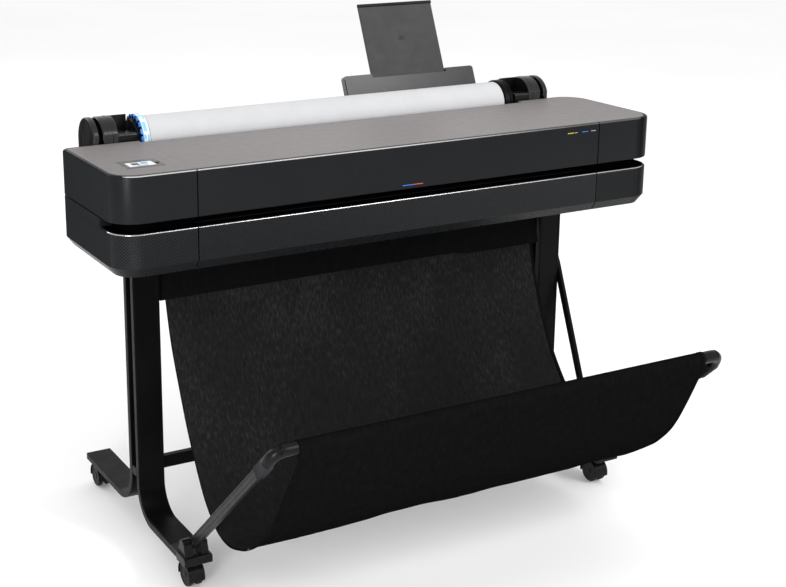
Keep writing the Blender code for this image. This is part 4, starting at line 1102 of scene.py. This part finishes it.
def elbow(name, side, reach=0.034):
    """The bent plastic tube that joins an arm to the front bar."""
    corner = Vector((LEG_X - 0.005, *BAR))
    coming, going = Vector((0.005, *(ARM_END - Vector(BAR)))).normalized(), Vector((-1.0, 0, 0))
    bend = [corner + coming * reach]
    for i in range(13):
        t = i / 12
        bend.append(corner + coming * ELBOW_TURN * (1 - t) ** 2 + going * ELBOW_TURN * t**2)
    bend.append(Vector((FABRIC_HALF + 0.0015, *BAR)))
    path = [(side * x, y, z) for x, y, z in bend]
    piece(f"{name}_bin_elbow", tube(path, ELBOW_RADIUS, 40), BLACK, "black_plastic", "bin_frame", 0.001)


def bars():
    """The bar at the bin's front, the one under the printer that its cloth hangs from, and the stay rod."""
    half, node = 0.5117, "bin_front_bar"
    mesh = turned([(BAR_RADIUS, -half), (BAR_RADIUS, half)], (0, *BAR), steps=64)
    piece(f"{node}_tube", mesh, PAINT, "leg_paint", "bin_frame", 0.0015, stands_for=[node])
    half, node = LEG_INNER - 0.0003, "bin_rear_bar"
    mesh = turned([(REAR_BAR_RADIUS, -half), (REAR_BAR_RADIUS, half)], (0, *REAR_BAR), steps=48)
    piece(f"{node}_tube", mesh, PAINT, "leg_paint", stands_for=[node])
    run = (STAY_TOP - STAY_FOOT).normalized()
    across, angle = crossways(run)
    stay = arc(STAY_FOOT, STAY_HALF, angle, angle + 180, 16)
    stay += arc(STAY_TOP, STAY_HALF, angle + 180, angle + 360, 16)
    mesh = prism(stay, STAY_NEAR, STAY_FAR)
    widths = [(offset, 0.0032) for offset in (-0.0066, 0, 0.0066)]
    start, end = STAY_FOOT + run * 0.012, STAY_TOP - run * 0.012
    rails(mesh, start, end, across, widths, STAY_NEAR - 0.0008, STAY_FAR + 0.0013)
    piece("bin_stay_rod_bar", mesh, PAINT, "leg_paint", bevel=0.0005, segments=2, stands_for=["bin_stay_rod"])


def bin_bracket(name, side):
    """The plastic block at the foot's tip, with two ears that hold the arm's pivot."""
    tip = FOOT_FRONT - 0.0003
    base = [(-0.048, 0.064), (-0.04, 0.0632), (tip, 0.0632), (tip, 0.0785), (0.03, 0.0785), (0.03, 0.0815)]
    base += [(-0.044, 0.0815), (-0.048, 0.078)]
    ear = [(-0.04, 0.0795), *arc(PIVOT, 0.013, 180, 0, 20), (0.002, 0.0835), (0.002, 0.0795)]
    node = f"{name}_bin_bracket"
    for part, outline, near, far, look, slot, bevel in (
        ("base", base, 0.4940, 0.5555, BLACK, "black_plastic", 0.0014),
        ("outer_ear", ear, 0.5312, 0.5505, BLACK, "black_plastic", 0.0016),
        ("inner_ear", ear, 0.4980, 0.5148, BLACK, "black_plastic", 0.0016),
        ("pin", circle(PIVOT, 0.004, 32), 0.5050, 0.5420, STEEL, "zinc_steel", 0),
    ):
        mesh = prism(outline, side * near, side * far)
        piece(f"{node}_{part}", mesh, look, slot, bevel=bevel, stands_for=[node] if part == "base" else [])


# The bin's fabric: one sheet from the rear bar, down under the printer and up to the front bar.

LEFT_DRAPE = [(0.229, 0.631), (0.2265, 0.585), (0.216, 0.53), (0.193, 0.45), (0.156, 0.365)]
LEFT_DRAPE += [(0.116, 0.283), (0.071, 0.211), (0.033, 0.16), (-0.02, 0.118), (-0.075, 0.108)]
LEFT_DRAPE += [(-0.128, 0.122), (-0.18, 0.148), (-0.257, 0.211), (-0.283, 0.25), (-0.314, 0.302)]
LEFT_DRAPE += [(-0.354, 0.366), (-0.3895, 0.428)]
RIGHT_DRAPE = [(0.229, 0.631), (0.222, 0.59), (0.207, 0.537), (0.187, 0.467), (0.145, 0.37)]
RIGHT_DRAPE += [(0.105, 0.299), (0.051, 0.231), (0, 0.18), (-0.045, 0.15), (-0.09, 0.136)]
RIGHT_DRAPE += [(-0.125, 0.131), (-0.155, 0.134), (-0.236, 0.188), (-0.274, 0.22), (-0.312, 0.266)]
RIGHT_DRAPE += [(-0.348, 0.335), (-0.3885, 0.426)]
REAR_LOOP, FRONT_LOOP = 14, 22  # points of the profile that go round each bar
SLEEVE = BAR_RADIUS + 0.0012
HEM_FALL = ((0.0135, 0.010), (0.013, 0.022), (0.009, 0.036))  # in front of the bar's axis, and below it
COLUMNS = 96
CLOTH_THICK = 0.0009
DARK_BAND_DROP, DARK_BAND_HALF, DARK_BAND_START = 0.078, 0.488, 16


def drape(share):
    """The sheet's profile at a share of the way from its left edge to its right, round both bars."""
    ease = 1 - (1 - share) ** 3
    hung = [[u + (v - u) * ease for u, v in zip(a, b)] for a, b in zip(LEFT_DRAPE, RIGHT_DRAPE)]
    rear = arc(REAR_BAR, 0.0092, -30, -250, REAR_LOOP)[:-1]
    front = arc(BAR, SLEEVE, 205, 20, FRONT_LOOP)
    return rear + smooth(hung, 9)[:-1] + front + [(BAR[0] + ahead, BAR[1] - fall) for ahead, fall in HEM_FALL]


def wrinkle(x, along):
    """How far the sheet stands off its smooth shape: long slack folds, and small creases near the bars."""
    loose = math.sin(math.pi * min(1.0, max(0.0, (along - 0.04) / 0.90))) ** 0.7
    folds = noise.noise(Vector((x * 5.0, along * 1.6, 3.1))) * 0.0060
    folds += noise.noise(Vector((x * 13.0 + along * 2.0, along * 4.5, 7.7))) * 0.0022
    ripples = noise.noise(Vector((x * 40.0, along * 22.0, 1.3))) * 0.00045
    return (folds + ripples) * loose


def hung_sheet(profiles, lengths):
    """The sheet's mesh, with its UV map in metres across and along it."""
    start, end = REAR_LOOP, len(profiles[0]) - FRONT_LOOP - len(HEM_FALL) - 1
    sheet = bmesh.new()
    map_layer = sheet.loops.layers.uv.new("UV")
    grid, places = [], {}
    for i, (profile, run) in enumerate(zip(profiles, lengths)):
        x = (i / COLUMNS - 0.5) * 2 * FABRIC_HALF
        column = []
        for j, (y, z) in enumerate(profile):
            ahead, behind = profile[min(j + 1, len(profile) - 1)], profile[max(j - 1, 0)]
            lean = Vector((ahead[0] - behind[0], ahead[1] - behind[1])).normalized()
            off = wrinkle(x, (j - start) / (end - start)) if start < j < end else 0.0
            point = sheet.verts.new((x, y - lean.y * off, z + lean.x * off))
            places[point] = (x, run[j])
            column.append(point)
        grid.append(column)
    for left, right in zip(grid, grid[1:]):
        for corners in zip(left, right, right[1:], left[1:]):
            for loop in sheet.faces.new(corners).loops:
                loop[map_layer].uv = places[loop.vert]
    return sheet


def bin_fabric():
    profiles = [drape(i / COLUMNS) for i in range(COLUMNS + 1)]
    lengths = []
    for profile in profiles:
        run = [0.0]
        for a, b in zip(profile, profile[1:]):
            run.append(run[-1] + math.dist(a, b))
        lengths.append(run)
    cloth = piece("bin_fabric_sheet", hung_sheet(profiles, lengths), CLOTH_OUTSIDE_SHADED, "bin_fabric", body=None,
                  sharp=180, stands_for=["bin_fabric_back", "bin_fabric_front"])
    thick = cloth.modifiers.new("Thickness", "SOLIDIFY")
    thick.thickness = CLOTH_THICK
    thick.offset = 0
    thick.material_offset = 1
    cloth.data.materials.append(CLOTH)
    made_real(cloth)
    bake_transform(cloth)
    edge_pieces = [side_hem(name, profiles[0 if side < 0 else -1], side) for name, side in SIDES]
    edge_pieces.append(dark_top_band(profiles))


def side_hem(name, profile, side):
    """The folded hem along one of the sheet's side edges."""
    mesh = prism(ribbon(profile[12:-4], 0.0022), side * (FABRIC_HALF + 0.0006), side * (FABRIC_HALF - 0.007))
    obj = piece(f"bin_fabric_{name}_hem", mesh, CLOTH_OUTSIDE_SHADED, "bin_fabric", body=None, sharp=60)
    mapped(obj, lambda x, y, z: (x, z - y))
    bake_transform(obj)
    return obj


def dark_top_band(profiles):
    """A dark band along the sheet's top, which follows the sheet down from the rear bar."""
    rows = []
    for i in range(0, COLUMNS + 1, 4):
        x = (i / COLUMNS - 0.5) * 2 * DARK_BAND_HALF
        y0, z0 = profiles[i][DARK_BAND_START]
        y1, z1 = min(profiles[i][DARK_BAND_START:80], key=lambda place: abs(place[1] - z0 + DARK_BAND_DROP))
        top, foot = z0 - 0.002, z1
        rows.append([(x, y0, top), (x, y0 - 0.0035, top), (x, y1 - 0.0075, foot), (x, y1 - 0.003, foot)])
    band = piece("bin_fabric_dark_band", loft(rows), DARK_BAND_CLOTH, "bin_fabric", sharp=30)
    mapped(band, lambda x, y, z: (x, z - y))
    return band


for name, side in SIDES:
    front_leg(f"{name}_leg_front", side)
    rear_leg(f"{name}_leg_rear", side)
    caster(f"{name}_front_caster", side * LEG_X, FRONT_CASTER_Y)
    caster(f"{name}_rear_caster", side * LEG_X, REAR_CASTER_Y)
    arm(name, side)
    bin_bracket(name, side)
brace()
bars()
bin_fabric()


# The studio and the camera.


def area_light(name, place, aim, size, power):
    light = bpy.data.lights.new(name, "AREA")
    light.shape = "RECTANGLE"
    light.size, light.size_y = size
    light.energy = power
    obj = placed(name, light)
    obj.location = place
    obj.rotation_euler = (Vector(aim) - Vector(place)).to_track_quat("-Z", "Y").to_euler()
    obj.visible_camera = False


def studio(floor_half=90, floor_drop=0.0005):
    floor = bpy.data.meshes.new("floor")
    sheet = bmesh.new()
    bmesh.ops.create_grid(sheet, x_segments=2, y_segments=2, size=floor_half)
    sheet.to_mesh(floor)
    sheet.free()
    ground = placed("floor", floor)
    ground.location.z = -floor_drop
    floor.materials.append(surface("floor", grey(0.93), grey(0.95), 0.8, patch=0.8, depth=0.00002))

    world = bpy.data.worlds.new("studio")
    bpy.context.scene.world = world
    world.use_nodes = True
    sky = world.node_tree.nodes["Background"].inputs
    sky["Color"].default_value = (1, 1, 1, 1)
    sky["Strength"].default_value = 1.0
    area_light("low_left", (-2.10, -1.75, 0.80), (-0.62, -0.10, 0.78), (0.5, 0.9), 34)
    area_light("rear_fill", (-2.6, 4.2, 3.0), (0, 0.3, 0.7), (2.4, 1.6), 60)
    area_light("high_right", (2.0, -3.5, 3.3), (0, 0, 0.85), (1.1, 2.6), 120)


def camera():
    """The camera looks from the front left, a little above the lid."""
    data = bpy.data.cameras.new("camera")
    data.lens = 64.67
    data.sensor_width = 36.0
    data.shift_x, data.shift_y = 0.118, -0.0999
    data.clip_end = 300
    obj = placed("camera", data)
    azimuth, elevation, roll = (math.radians(a) for a in (-27.8286, 14.7777, -0.1392))
    flat = math.cos(elevation)
    back = Vector((math.sin(azimuth) * flat, -math.cos(azimuth) * flat, math.sin(elevation)))
    right = (-back).cross(Vector((0, 0, 1))).normalized()
    up = right.cross(-back)
    right, up = right * math.cos(roll) + up * math.sin(roll), up * math.cos(roll) - right * math.sin(roll)
    turn = Matrix((right, up, back)).transposed().to_4x4()
    obj.matrix_world = Matrix.Translation((-1.5466, -2.4254 + FRONT, 1.4759)) @ turn
    bpy.context.scene.camera = obj


studio()
camera()
bpy.context.scene.view_settings.view_transform = "Standard"
